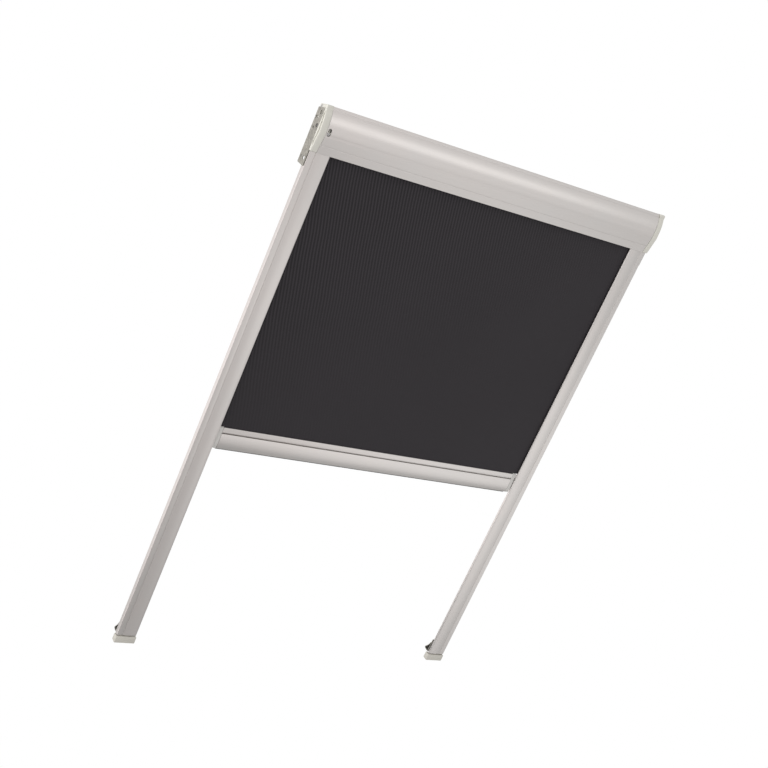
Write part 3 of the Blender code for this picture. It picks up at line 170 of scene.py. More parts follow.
class BlindColours(bpy.types.PropertyGroup):
    """Colours of the blind's finishes."""

    aluminium: colour("Aluminium", "Satin anodised extrusions", (0.618, 0.594, 0.574))
    tube: colour("Tube", "Mill finished roller tube", (0.62, 0.62, 0.62))
    cap: colour("End caps", "Caps of the cassette", (0.53, 0.515, 0.466))
    bar_cap: colour("Bar caps", "Caps of the bar", (0.47, 0.455, 0.435))
    foot: colour("Foot caps", "Caps of the rails", (0.44, 0.422, 0.38))
    zinc: colour("Zinc", "Galvanised plates and clips", (0.3, 0.292, 0.26))
    screw: colour("Screws", "Plated screws and rivets", (0.52, 0.52, 0.515))
    shaft: colour("Shaft", "Drawn steel shaft and pin", (0.15, 0.15, 0.148))
    spring: colour("Springs", "Torsion spring and leaf springs", (0.12, 0.12, 0.13))
    fabric: colour("Fabric", "Charcoal blackout weave", (0.0186, 0.0158, 0.0186))
    pile: colour("Pile", "Woven pile strips", (0.12, 0.12, 0.12))
    rubber: colour("Rubber", "Seal under the bar", (0.05, 0.05, 0.05))
    shoe: colour("Shoes", "Sliders in the rails", (0.06, 0.06, 0.06))
    natural: colour("Natural plastic", "Plugs, anchor and keder", (0.75, 0.74, 0.7))


class BlindStage(bpy.types.PropertyGroup):
    """Light and floor round the blind."""

    floor_drop: size("Floor drop", "Distance from the feet down to the floor", 1500.0, 3.0)
    floor_size: size("Floor size", "Side of the floor", 4000.0, 30.0)
    strip: brightness("Strip light", "Long lamp in front of the cassette", 0.54)
    low_box: brightness("Low light", "Lamp low on the right", 0.29)
    fill: brightness("Fill light", "Narrow lamp under the long one", 0.29)
    wing: brightness("Wing light", "Lamp on the left", 2.6)


def sizes():
    return bpy.context.scene.blind_sizes


def colours():
    return bpy.context.scene.blind_colours


def stage():
    return bpy.context.scene.blind_stage


# Shader maths

def join(tree, value, place):
    """Feed a socket from a link, a number or a tuple."""
    if isinstance(value, Value):
        tree.links.new(value.socket, place)
    elif value is not None:
        place.default_value = value


def maths(operation, swapped=False):
    """Method that works a maths node on a value and on what it meets."""

    def method(self, *others):
        node = self.tree.nodes.new("ShaderNodeMath")
        node.operation = operation
        for place, term in zip(node.inputs, (*others, self) if swapped else (self, *others)):
            join(self.tree, term, place)
        return Value(self.tree, node.outputs[0])

    return method


class Value:
    """A node's output that Python's own operators work on."""

    def __init__(self, tree, socket):
        self.tree = tree
        self.socket = socket

    __add__ = __radd__ = maths("ADD")
    __mul__ = __rmul__ = maths("MULTIPLY")
    __sub__, __rsub__ = maths("SUBTRACT"), maths("SUBTRACT", True)
    __truediv__, __rtruediv__ = maths("DIVIDE"), maths("DIVIDE", True)
    __pow__ = maths("POWER")
    wave = maths("SINE")
    part = maths("FRACT")
    above = maths("GREATER_THAN")
    most = maths("MAXIMUM")
    least = maths("MINIMUM")


class Nodes:
    """A shader tree that nodes are added to in one line each."""

    def __init__(self, tree):
        self.tree = tree

    def node(self, kind, settings=None, inputs=None, output=0):
        """Add a shader node: its settings first, then what its sockets take."""
        node = self.tree.nodes.new(kind)
        for name, setting in (settings or {}).items():
            setattr(node, name, setting)
        for name, value in (inputs or {}).items():
            join(self.tree, value, node.inputs[name])
        return Value(self.tree, node.outputs[output])

    def graded(self, value, stops):
        """Grey that a ramp gives a value from -1 to 1."""
        ramp = self.node("ShaderNodeValToRGB", inputs={"Fac": value * 0.5 + 0.5})
        elements = ramp.socket.node.color_ramp.elements
        while len(elements) < len(stops):
            elements.new(0.5)
        for element, (place, tone) in zip(elements, stops):
            element.position = place
            element.color = (tone, tone, tone, 1.0)
        return ramp

    def place(self, scale=(1.0, 1.0, 1.0)):
        """Object coordinates, stretched by a scale."""
        at = self.node("ShaderNodeTexCoord", output="Object")
        return self.node("ShaderNodeMapping", inputs={"Vector": at, "Scale": scale})

    def rise(self, value, low, high):
        """0 below one limit, 1 above the other, and smooth between them."""
        return self.node(
            "ShaderNodeMapRange", {"interpolation_type": "SMOOTHSTEP"},
            {"Value": value, "From Min": low, "From Max": high},
        )

    def axes(self, vector):
        """The three coordinates of a vector."""
        split = self.node("ShaderNodeSeparateXYZ", inputs={"Vector": vector})
        return [Value(self.tree, socket) for socket in split.socket.node.outputs]

    def noise(self, scale, detail=2.0, roughness=0.5, stretch=(1.0, 1.0, 1.0)):
        """Noise of the object's coordinates, from 0 to 1 with 0.5 in the middle."""
        at = self.place(stretch)
        return self.node(
            "ShaderNodeTexNoise",
            inputs={"Vector": at, "Scale": scale, "Detail": detail, "Roughness": roughness},
        )

    def mixed(self, first, second, share):
        """Colour between two others."""
        tones = ((*tone, 1.0) if isinstance(tone, tuple) else tone for tone in (first, second))
        inputs = dict(zip((0, 6, 7), (share, *tones)))
        return self.node("ShaderNodeMix", {"data_type": "RGBA"}, inputs, 2)

    def toned(self, tone, strength):
        """Colour made lighter or darker by a value."""
        return self.node(
            "ShaderNodeVectorMath", {"operation": "SCALE"}, {"Vector": tone, "Scale": strength},
        )

    def bump(self, height, depth, under=None):
        """Normal of a surface that rises by depth where height is 1."""
        inputs = {"Height": height, "Distance": depth, "Normal": under}
        return self.node("ShaderNodeBump", inputs=inputs)


class Finish(Nodes):
    """Material of one finish, round its Principled shader."""

    def __init__(self, name):
        self.material = bpy.data.materials.new(name)
        self.material.use_nodes = True
        super().__init__(self.material.node_tree)
        self.shader = self.tree.nodes["Principled BSDF"]

    def surface(self, **values):
        """Set the shader's own sockets."""
        for name, value in values.items():
            label = name.replace("_", " ").title().replace("Ior", "IOR")
            join(self.tree, value, self.shader.inputs[label])
        return self.material


# How much a finish stretches its grain along the way that a piece was drawn or extruded
DIE_STRETCH = 0.006
SCRATCH_STRETCH = 0.05

# What turns a metal's tone a little warmer and a little cooler
WARMER = (1.012, 0.998, 0.99)
COOLER = (0.990, 1.002, 1.008)


def drawn(along, stretch):
    """Scale of object coordinates that stretches a grain along one axis."""
    return tuple(stretch if axis == along else 1.0 for axis in "XYZ")


def anodised(name, tone, along):
    """Satin anodised extrusion with faint die lines along one axis."""
    finish = Finish(name)
    lines = finish.noise(900.0, 4.0, 0.62, drawn(along, DIE_STRETCH))
    grain = finish.noise(3600.0)
    cloud = finish.noise(11.0, 3.0)
    strength = 0.965 + lines * 0.045 + grain * 0.015 + cloud * 0.012
    warm, cool = (
        tuple(part * change for part, change in zip(tone, changes)) for changes in (WARMER, COOLER)
    )
    tint = finish.mixed(warm, cool, finish.noise(17.0))
    relief = finish.bump(lines, 0.003 * MM)
    return finish.surface(
        base_color=finish.toned(tint, strength),
        metallic=0.92,
        roughness=0.25 + lines * 0.10 + cloud * 0.04,
        normal=finish.bump(grain, 0.0008 * MM, relief),
    )


def moulded(name, tone, roughness=0.42, texture=1.0):
    """Moulded plastic with the fine texture of a spark-eroded mould."""
    finish = Finish(name)
    fine = finish.noise(2600.0, 3.0, 0.6)
    flow = finish.noise(60.0, 3.0, stretch=(1.0, 1.0, 0.35))
    strength = 0.955 + fine * 0.04 + flow * 0.05
    return finish.surface(
        base_color=finish.toned(tone, strength),
        roughness=roughness + fine * 0.10 + flow * 0.06,
        normal=finish.bump(fine, 0.02 * MM * texture),
    )


SPANGLE_SCALE = 330.0
SPANGLE_WARP = (0.0012, 0.0012, 0.0012)


def galvanised(name, tone):
    """Hot-dipped sheet with its spangle, and dull patches where it was handled."""
    finish = Finish(name)
    at = finish.place()
    warp = finish.node("ShaderNodeTexNoise", inputs={"Vector": at, "Scale": 420.0}, output="Color")
    warped = finish.node(
        "ShaderNodeVectorMath", {"operation": "MULTIPLY_ADD"}, {0: warp, 1: SPANGLE_WARP, 2: at},
    )
    cells = {"Vector": warped, "Scale": SPANGLE_SCALE}
    spangle = finish.node("ShaderNodeTexVoronoi", {"feature": "F1"}, cells, "Color")
    shade = finish.axes(spangle)[0]
    seams = finish.node("ShaderNodeTexVoronoi", {"feature": "DISTANCE_TO_EDGE"}, cells)
    dull = finish.noise(90.0, 4.0, 0.6)
    strength = 0.70 + shade * 0.45 + dull * 0.22
    return finish.surface(
        base_color=finish.toned(tone, strength),
        metallic=0.75,
        roughness=0.36 + shade * 0.16 + dull * 0.14,
        normal=finish.bump(seams.least(0.06) + shade * 0.02, 0.06 * MM),
    )


def steel(name, tone, along, roughness=0.26):
    """Drawn or plated steel with faint scratches along one axis."""
    finish = Finish(name)
    scratches = finish.noise(2600.0, 3.0, 0.6, drawn(along, SCRATCH_STRETCH))
    stain = finish.noise(240.0, 3.0)
    return finish.surface(
        base_color=finish.toned(tone, 0.84 + scratches * 0.16 + stain * 0.16),
        metallic=0.95,
        roughness=roughness + scratches * 0.10 + stain * 0.08,
        normal=finish.bump(scratches, 0.006 * MM),
    )


THREAD_PITCH = 0.62 * MM
THREAD_ROUND = 0.7  # power that makes the threads fuller than sine waves
RIB_PITCH = 4.8 * MM
RIB_WAY = (0.97, 0.243)  # the way across the slanting ribs, along X and Z
FULL_TURN = 2 * pi


def weave(name, tone):
    """Close blackout weave: fine twill threads with faint slanting ribs."""
    finish = Finish(name)
    x, _, z = finish.axes(finish.place())
    across, down = x / THREAD_PITCH, z / THREAD_PITCH
    uneven = finish.noise(620.0, 3.0, stretch=(1.0, 1.0, 0.04))
    slack = finish.noise(620.0, 3.0, stretch=(0.04, 1.0, 1.0))
    ends = ((across + uneven * 0.5) * FULL_TURN).wave() * 0.5 + 0.5
    picks = ((down + slack * 0.5) * FULL_TURN).wave() * 0.5 + 0.5
    twill = (across * 0.5 + down * 0.25).part().above(0.5)
    thread = ends ** THREAD_ROUND * twill + picks ** THREAD_ROUND * (1.0 - twill)
    slant = (x * RIB_WAY[0] + z * RIB_WAY[1]) / RIB_PITCH
    drift = finish.noise(6.0)
    ribs = ((slant + drift * 2.0) * FULL_TURN).wave() * 0.5
    # Painted raking light: the ribs' contrast is painted stronger in the upper left corner, where
    # the light rakes the cloth
    painted_raking_light = 1.0 - finish.rise(x * 0.7 - z, -0.10, 0.30)
    cloud = finish.noise(5.0, 3.0)
    strength = 0.68 + thread * 0.34 + ribs * (0.30 + painted_raking_light * 0.80) + cloud * 0.30
    return finish.surface(
        base_color=finish.toned(tone, strength),
        roughness=0.80 + ribs * 0.08,
        normal=finish.bump(thread + ribs * 0.2, 0.06 * MM),
        sheen_weight=0.10,
        sheen_roughness=0.5,
        specular_ior_level=0.25,
    )


def fibres(name, tone):
    """Matt pile whose tufts differ a little."""
    finish = Finish(name)
    shade = finish.noise(900.0)
    return finish.surface(
        base_color=finish.toned(tone, 0.6 + shade * 0.8),
        roughness=0.9 + shade * 0.1,
        normal=finish.bump(finish.noise(4000.0), 0.05 * MM),
        sheen_weight=0.3,
    )


def rubber(name, tone):
    """Matt extruded rubber with a faint bloom."""
    finish = Finish(name)
    bloom = finish.noise(160.0, 4.0, stretch=(0.1, 1.0, 1.0))
    return finish.surface(
        base_color=finish.toned(tone, 0.8 + bloom * 0.4),
        roughness=0.62 + bloom * 0.2,
        normal=finish.bump(finish.noise(1800.0, stretch=(0.01, 1.0, 1.0)), 0.01 * MM),
    )


FINISHES = {}  # material and slot of each finish, by the name that the pieces use


def make_finishes():
    """Every finish: how it is made, its name, slot and colour, and what else it takes."""
    for kind, name, slot, tone, *rest in (
        (anodised, "cassette aluminium", "aluminium", "aluminium", "X"),
        (anodised, "rail aluminium", "aluminium", "aluminium", "Z"),
        (anodised, "tube aluminium", "roller_aluminium", "tube", "X"),
        (moulded, "cap plastic", "cap_plastic", "cap"),
        (moulded, "bar cap plastic", "cap_plastic", "bar_cap", 0.34, 0.6),
        (moulded, "foot plastic", "foot_plastic", "foot"),
        (moulded, "shoe plastic", "shoe_plastic", "shoe", 0.34, 0.5),
        (moulded, "natural plastic", "roller_plastic", "natural", 0.36, 0.5),
        (galvanised, "galvanised", "galvanised", "zinc"),
        (steel, "screw steel", "screw_steel", "screw", "Y"),
        (steel, "shaft steel", "shaft_steel", "shaft", "X", 0.22),
        (steel, "spring steel", "spring_steel", "spring", "Z", 0.30),
        (weave, "fabric", "fabric", "fabric"),
        (fibres, "pile", "pile", "pile"),
        (rubber, "rubber", "seal_rubber", "rubber"),
    ):
        FINISHES[name] = kind(name, tuple(getattr(colours(), tone)), *rest), slot


# Meshes

def stored(name, bm):
    """The mesh as an object of its own at the origin."""
    mesh = bpy.data.meshes.new(name)
    bm.to_mesh(mesh)
    bm.free()
    obj = bpy.data.objects.new(name, mesh)
    bpy.context.scene.collection.objects.link(obj)
    return obj


def settled(obj):
    """The object with its modifiers worked out into a plain mesh."""
    bpy.context.view_layer.update()
    graph = bpy.context.evaluated_depsgraph_get()
    mesh = bpy.data.meshes.new_from_object(obj.evaluated_get(graph), depsgraph=graph)
    obj.modifiers.clear()
    obj.data = mesh
    mesh.name = obj.name
    return obj


def dressed(obj, finish, body, *nodes):
    """Give a piece its finish and its body, and hide the nodes that it stands for."""
    material, slot = FINISHES[finish]
    obj.data.materials.clear()
    obj.data.materials.append(material)
    if body:
        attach(obj, body)
    if nodes:
        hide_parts(*nodes)


def copied(node, piece, edge, finish, body, side=None, shaped=None, bores=None):
    """Copy of a CAD node, or of the one on a side: bored, refined, and its edges rounded."""
    tail = f"_{side}" if side else ""
    bm = bmesh.new()
    bm.from_mesh(frame["nodes"][node + tail].data)
    bmesh.ops.remove_doubles(bm, verts=bm.verts, dist=WELD)
    obj = stored(piece + tail, bm)
    if bores:
        bored(obj, *bores)
    bm = bmesh.new()
    bm.from_mesh(obj.data)
    bmesh.ops.dissolve_limit(bm, angle_limit=FLAT, verts=bm.verts, edges=bm.edges)
    if shaped:
        shaped(bm)
    bmesh.ops.triangulate(bm, faces=bm.faces, ngon_method="BEAUTY")
    bm.to_mesh(obj.data)
    bm.free()
    obj.data.shade_smooth()
    obj.data.set_sharp_from_angle(angle=CREASE)
    bevel = obj.modifiers.new("eased edges", "BEVEL")
    bevel.width = getattr(sizes(), edge)
    bevel.segments = 3
    bevel.limit_method = "ANGLE"
    bevel.angle_limit = CREASE
    bevel.use_clamp_overlap = False
    bevel.loop_slide = False
    bevel.harden_normals = True
    dressed(settled(obj), finish, body, node + tail)


LATHE_STEPS = 36
BORE_STEPS = 24


def lathe(name, profile):
    """Round piece about Z from (radius, height) points, closed at both ends."""
    bm = bmesh.new()
    turns = [2 * pi * i / LATHE_STEPS for i in range(LATHE_STEPS)]
    rings = [
        [bm.verts.new((radius * cos(turn), radius * sin(turn), height)) for turn in turns]
        for radius, height in profile
    ]
    bm.faces.new(rings[0])
    bm.faces.new(rings[-1])
    for before, after in zip(rings, rings[1:]):
        for i in range(LATHE_STEPS):
            bm.faces.new((before[i - 1], before[i], after[i], after[i - 1]))
    bmesh.ops.recalc_face_normals(bm, faces=bm.faces)
    obj = stored(name, bm)
    obj.data.shade_smooth()
    obj.data.set_sharp_from_angle(angle=CREASE)
    return obj


CROSS_ENDS = ((0.2, 0.55), (-1.0, 0.30))  # shares of its depth and width at its two ends


def cross_cutter(width, reach, depth):
    """Tapered cross that cuts a screw's recess down from its head."""
    bm = bmesh.new()
    for long, wide in ((reach, width), (width, reach)):
        rings = [
            [bm.verts.new((sx * long * share, sy * wide * share, depth * height))
             for sx, sy in ((-1, -1), (1, -1), (1, 1), (-1, 1))]
            for height, share in CROSS_ENDS
        ]
        bm.faces.new(rings[0])
        bm.faces.new(rings[1])
        for i in range(4):
            bm.faces.new((rings[0][i - 1], rings[0][i], rings[1][i], rings[1][i - 1]))
    bmesh.ops.recalc_face_normals(bm, faces=bm.faces)
    return stored("cross_cutter", bm)


def bored(obj, holes, start, end):
    """Bore blind holes along X from start to end, by their Y, Z and radius in millimetres."""
    bm = bmesh.new()
    turn = Matrix.Rotation(pi / 2, 4, "Y")
    for y, z, radius in holes:
        place = Matrix.Translation(((start + end) / 2, y * MM, z * MM))
        bmesh.ops.create_cone(
            bm, cap_ends=True, segments=BORE_STEPS, radius1=radius * MM, radius2=radius * MM,
            depth=abs(end - start), matrix=place @ turn,
        )
    cut(obj, stored("borers", bm))


def cut(obj, cutter):
    """Take a closed cutter away from a piece."""
    modifier = obj.modifiers.new("cut", "BOOLEAN")
    modifier.operation = "DIFFERENCE"
    modifier.solver = "EXACT"
    modifier.use_self = True
    modifier.object = cutter
    settled(obj)
    bpy.data.objects.remove(cutter)


# Geometry Nodes

class Growth:
    """Geometry Nodes tree with named inputs, and the piece that grows from it."""

    def __init__(self, name, numbers="", **others):
        self.tree = bpy.data.node_groups.new(name, "GeometryNodeTree")
        face = self.tree.interface
        face.new_socket("Geometry", in_out="OUTPUT", socket_type="NodeSocketGeometry")
        self.keys = {}
        kinds = {label: "Float" for label in numbers.split()} | others
        for label, kind in {**kinds, "Place": "Vector", "Material": "Material"}.items():
            socket = face.new_socket(label, in_out="INPUT", socket_type="NodeSocket" + kind)
            self.keys[label] = socket.identifier
        self.given = self.tree.nodes.new("NodeGroupInput")
        self.result = self.tree.nodes.new("NodeGroupOutput")

    def __getitem__(self, label):
        """The socket of a named input."""
        return self.given.outputs[label]

    def node(self, kind, settings=None, **inputs):
        """Add a node, and give its first output; a socket's name has _ for its spaces."""
        node = self.tree.nodes.new(kind)
        for name, setting in (settings or {}).items():
            setattr(node, name, setting)
        for name, value in inputs.items():
            label = name.replace("_", " ")
            socket = next(s for s in node.inputs if s.enabled and s.name.lower() == label)
            if isinstance(value, bpy.types.NodeSocket):
                self.tree.links.new(value, socket)
            else:
                socket.default_value = value
        return next(socket for socket in node.outputs if socket.enabled)

    def ends_in(self, geometry, turn=(0.0, 0.0, 0.0)):
        """Turn what was grown, move it to its place, realize it and give it its material."""
        moved = self.node(
            "GeometryNodeTransform", geometry=geometry, translation=self["Place"], rotation=turn,
        )
        real = self.node("GeometryNodeRealizeInstances", geometry=moved)
        dyed = self.node("GeometryNodeSetMaterial", geometry=real, material=self["Material"])
        self.tree.links.new(dyed, self.result.inputs[0])

    def grown(self, name, finish, points=(), **values):
        """A new piece from the tree, with these values for its inputs, on points or on none."""
        bm = bmesh.new()
        for point in points:
            bm.verts.new(point)
        obj = stored(name, bm)
        modifier = obj.modifiers.new("growth", "NODES")
        modifier.node_group = self.tree
        for label, value in {**values, "Material": FINISHES[finish][0]}.items():
            modifier[self.keys[label]] = value
        return settled(obj)


TUFT_SIDES = 5
TUFT_TIP = 0.18 * MM  # radius of a tuft at its tip
TUFT_LEAN = 0.16  # how far a tuft may lean, in radians
TUFT_TURN = 6.28
TUFT_TRIM = 0.86  # shortest tuft, as a share of the longest
COIL_STEPS = 28  # in a turn of the spring
WIRE_STEPS = 12
WINDING_STEPS = 56  # in a turn of the wound cloth
ALONG_X = (0.0, pi / 2, 0.0)  # turns what stands up along Z to lie along X


def pile_growth():
    """Strip of pile: rows of tufts, with its width along X and its length along Y."""
    grow = Growth(
        "pile strip", "Width Length Height Radius", Rows="Int", Columns="Int", Turn="Rotation",
    )
    field = grow.node(
        "GeometryNodeMeshGrid", size_x=grow["Width"], size_y=grow["Length"],
        vertices_x=grow["Columns"], vertices_y=grow["Rows"],
    )
    tuft = grow.node(
        "GeometryNodeMeshCone", vertices=TUFT_SIDES, side_segments=1, fill_segments=1,
        radius_top=TUFT_TIP, radius_bottom=grow["Radius"], depth=grow["Height"],
    )
    lean = grow.node(
        "FunctionNodeRandomValue", {"data_type": "FLOAT_VECTOR"},
        min=(-TUFT_LEAN, -TUFT_LEAN, 0.0), max=(TUFT_LEAN, TUFT_LEAN, TUFT_TURN), seed=7,
    )
    trim = grow.node(
        "FunctionNodeRandomValue", {"data_type": "FLOAT"}, min=TUFT_TRIM, max=1.0, seed=11,
    )
    tall = grow.node("ShaderNodeCombineXYZ", x=1.0, y=1.0, z=trim)
    turn = grow.node("FunctionNodeEulerToRotation", euler=lean)
    tufts = grow.node(
        "GeometryNodeInstanceOnPoints", points=field, instance=tuft, rotation=turn, scale=tall,
    )
    grow.ends_in(tufts, grow["Turn"])
    return grow


def spring_growth():
    """Coil of round wire along X."""
    grow = Growth("coil", "Turns Radius Wire Length")
    line = grow.node(
        "GeometryNodeCurveSpiral", resolution=COIL_STEPS, rotations=grow["Turns"],
        start_radius=grow["Radius"], end_radius=grow["Radius"], height=grow["Length"],
    )
    wire = grow.node(
        "GeometryNodeCurvePrimitiveCircle", {"mode": "RADIUS"},
        resolution=WIRE_STEPS, radius=grow["Wire"],
    )
    swept = grow.node("GeometryNodeCurveToMesh", curve=line, profile_curve=wire, fill_caps=True)
    grow.ends_in(swept, ALONG_X)
    return grow


def winding_growth():
    """Cloth wound on a roller along X, from its outer end inwards."""
    grow = Growth("winding", "Turns Outer Inner Width Start")
    line = grow.node(
        "GeometryNodeCurveSpiral", resolution=WINDING_STEPS, rotations=grow["Turns"],
        start_radius=grow["Outer"], end_radius=grow["Inner"], height=0.0,
    )
    edge = grow.node("GeometryNodeCurveToMesh", curve=line)
    across = grow.node("ShaderNodeCombineXYZ", x=0.0, y=0.0, z=grow["Width"])
    sheet = grow.node(
        "GeometryNodeExtrudeMesh", {"mode": "EDGES"}, mesh=edge, offset=across, offset_scale=1.0,
    )
    angle = grow.node("ShaderNodeCombineXYZ", x=0.0, y=0.0, z=grow["Start"])
    turned = grow.node("GeometryNodeTransform", geometry=sheet, rotation=angle)
    grow.ends_in(turned, ALONG_X)
    return grow


def fastener_growth():
    """One fastener set at each of a mesh's points, with Z turned to where its heads face."""
    grow = Growth("fasteners", Points="Geometry", Fastener="Object", Turn="Rotation")
    one = grow.node("GeometryNodeObjectInfo", object=grow["Fastener"]).node
    set_at = grow.node(
        "GeometryNodeInstanceOnPoints", points=grow["Points"], instance=one.outputs["Geometry"],
        rotation=grow["Turn"],
    )
    grow.ends_in(set_at)
    return grow


# Pieces

def middle(node):
    low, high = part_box(node)
    return (low + high) / 2


class BLIND_OT_cassette(bpy.types.Operator):
    """Bowed aluminium cassette with the pile at its mouth"""

    bl_idname = "blind.cassette"
    bl_label = "Cassette"

    def execute(self, context):
        copied(
            "cassette_profile", "cassette_cover", "extrusion_edge", "cassette aluminium", "frame",
        )
        grow_pile("cassette_light_seal", "cassette_pile", "X")
        return {"FINISHED"}


# How a strip of pile along X or along Z is turned, from lying flat with its length along Y
PILE_TURNS = {
    "X": Matrix(((0, 1, 0), (0, 0, 1), (1, 0, 0))),
    "Z": Matrix(((-1, 0, 0), (0, 0, 1), (0, 1, 0))),
}
PILE_ROOT, PILE_HEIGHT = 0.02, 0.93  # where the tufts start and how tall they are, as shares


def grow_pile(node, name, along):
    """Pile strip that fills a node's box, rooted at its front and standing towards the fabric."""
    low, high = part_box(node)
    tuft, gap = sizes().tuft_radius, sizes().tuft_gap
    run, side = (0, 2) if along == "X" else (2, 0)
    deep = high.y - low.y
    length = high[run] - low[run] - 2 * tuft
    width = high[side] - low[side] - 2 * tuft
    root = Vector(((low.x + high.x) / 2, low.y + deep * PILE_ROOT, (low.z + high.z) / 2))
    strip = pile_growth().grown(
        name, "pile", Width=width, Length=length, Height=deep * PILE_HEIGHT, Radius=tuft,
        Rows=max(2, round(length / gap)), Columns=max(2, round(width / gap) + 1),
        Turn=PILE_TURNS[along].to_euler(), Place=root,
    )
    dressed(strip, "pile", "frame", node)


# Holes of the plate that the cap is hollow behind: Y, Z and radius in millimetres
PLATE_HOLES = ((7.4, 51.0, 2.6), (10.9, 43.0, 1.1), (16.2, 43.0, 1.1), (13.55, 28.0, 1.2))
PIT_START = 0.5 * MM  # outside the face that the plate lies on
PIT_DEPTH = 7.0 * MM  # from that face
POCKET_DEPTH = 4.5 * MM  # of the crescent pocket in the model's end caps
POCKET_BACK = 4.0 * MM  # the pocket lies in front of this


def refined_cap(bm):
    """A shallower crescent pocket, and the cassette's end play as a seam at the right cap."""
    face_x = max(abs(vert.co.x) for vert in bm.verts)
    seam_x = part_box("cassette_profile")[1].x + sizes().clearance
    for vert in bm.verts:
        x = abs(vert.co.x)
        if abs(x - (face_x - POCKET_DEPTH)) < NEAR and vert.co.y < POCKET_BACK:
            vert.co.x *= (face_x - sizes().pocket) / x
        elif abs(vert.co.x - seam_x) < NEAR:
            vert.co.x += (sizes().seam - sizes().clearance) / 2


def lowered_cap(bm):
    """A seam that shows between the cap of a rail's foot and the rail."""
    seam_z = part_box("side_rail_left")[0].z - sizes().clearance
    for vert in bm.verts:
        if abs(vert.co.z - seam_z) < NEAR:
            vert.co.z -= sizes().seam * 2


class BLIND_OT_end_caps(bpy.types.Operator):
    """Moulded caps of the cassette and the punched plates outside them"""

    bl_idname = "blind.end_caps"
    bl_label = "End caps and brackets"

    def execute(self, context):
        for side, way in zip(SIDES, (-1, 1)):
            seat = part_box(f"head_bracket_{side}")[way < 0].x
            pits = (PLATE_HOLES, seat + way * PIT_START, seat - way * PIT_DEPTH)
            copied(
                "cassette_end_cap", "cassette_cap", "moulded_edge", "cap plastic", "frame", side,
                refined_cap, pits,
            )
            copied("head_bracket", "bracket_plate", "pressed_edge", "galvanised", "frame", side)
        return {"FINISHED"}


# Fasteners' outlines from the middle of the head out and down
PAN_HEAD = (  # radius and height as shares of the head's
    (0.3, 0.0), (0.6, -0.05), (0.82, -0.2), (0.96, -0.45), (1.0, -0.7), (1.0, -0.93), (0.96, -1.0),
)
PAN_SHANK = 0.6  # radius as a share of the head's
PAN_TIP = 0.3 * MM
SUNK_FACE = 0.9  # radius of the face inside its eased rim, as a share of the head's
SUNK_RIM = 0.1 * MM  # height of the easing, and of the rim below it
SUNK_SHANK = 0.5
SUNK_TIP = 0.6  # radius as a share of the shank's
CROSS_REACH = 0.62  # of a recess's arms, as a share of the head's radius
RIVET_SHANK = 1.4 * MM
RIVET_HEAD = 0.9 * MM
RIVET_EYE = ((0.35, -0.5), (0.45, -0.12), (0.6, 0.0))  # radius and height in millimetres
RIVET_CROWN = ((0.55, -0.12), (0.85, -0.42), (1.0, -0.78), (1.0, -0.9))  # share of the head's, mm
RIVET_TAIL = ((1.0, 1.4), (1.3, 1.1), (1.3, 0.5), (0.9, 0.0))  # share of the shank's, mm up


def recessed(name, head, profile):
    """Screw with a cross recess in its head."""
    screw = lathe(name, profile)
    cut(screw, cross_cutter(sizes().recess, head * CROSS_REACH, sizes().recess_depth))
    return screw


def place_fasteners(name, fastener, places, facing, *nodes):
    """Copies of a fastener that stand for these nodes, each head turned to face one way."""
    piece = fastener_growth().grown(
        name, "screw steel", places, Fastener=fastener,
        Turn=Vector(facing).to_track_quat("Z", "Y").to_euler(),
    )
    dressed(piece, "screw steel", "frame", *nodes)


class BLIND_OT_fasteners(bpy.types.Operator):
    """Screws of the cassette and rivets of the foot clips"""

    bl_idname = "blind.fasteners"
    bl_label = "Screws and rivets"

    def execute(self, context):
        self.add_cover_screw()
        self.add_cap_screws()
        self.add_rivets()
        return {"FINISHED"}

    def add_cover_screw(self):
        low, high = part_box("cover_screw")
        head, long = (high.x - low.x) / 2, high.y - low.y
        shank, tall = head * PAN_SHANK, sizes().pan_head
        screw = recessed("pan_screw", head, [
            *((head * share, tall * height) for share, height in PAN_HEAD),
            (shank, -tall), (shank, -long + shank), (PAN_TIP, -long),
        ])
        at = middle("cover_screw")
        places = [(at.x, low.y, at.z)]
        place_fasteners("cover_slot_screw", screw, places, (0, -1, 0), "cover_screw")
        bpy.data.objects.remove(screw)

    def add_cap_screws(self):
        low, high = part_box("end_cap_screw_left_top")
        head, long = (high.z - low.z) / 2, high.x - low.x
        shank = head * SUNK_SHANK
        screw = recessed("countersunk_screw", head, [
            (head * SUNK_FACE, 0.0), (head, -SUNK_RIM), (head, -2 * SUNK_RIM),
            (shank, -head + shank - SUNK_RIM), (shank, -long + shank), (shank * SUNK_TIP, -long),
        ])
        for side, way in zip(SIDES, (-1, 1)):
            nodes = [f"end_cap_screw_{side}_{level}" for level in ("top", "bottom")]
            places = [(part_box(node)[way > 0].x, *middle(node).yz) for node in nodes]
            place_fasteners(f"cap_screws_{side}", screw, places, (way, 0, 0), *nodes)
        bpy.data.objects.remove(screw)

    def add_rivets(self):
        nodes = [f"foot_clip_rivet_{side}" for side in SIDES]
        low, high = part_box(nodes[0])
        head, long = (high.x - low.x) / 2, high.y - low.y
        rivet = lathe("blind_rivet", [
            *((radius * MM, height * MM) for radius, height in RIVET_EYE),
            *((head * share, height * MM) for share, height in RIVET_CROWN),
            (RIVET_SHANK, -RIVET_HEAD),
            *((RIVET_SHANK * share, -long + height * MM) for share, height in RIVET_TAIL),
        ])
        places = [(middle(node).x, high.y, middle(node).z) for node in nodes]
        place_fasteners("clip_rivets", rivet, places, (0, 1, 0), *nodes)
        bpy.data.objects.remove(rivet)


RAIL_FACE = (3.3 * MM, 21.2 * MM)  # the dished face, out from the rail's inner edge
RAIL_DISH = 0.62 * MM  # deeper than the dish, and less than anything behind it


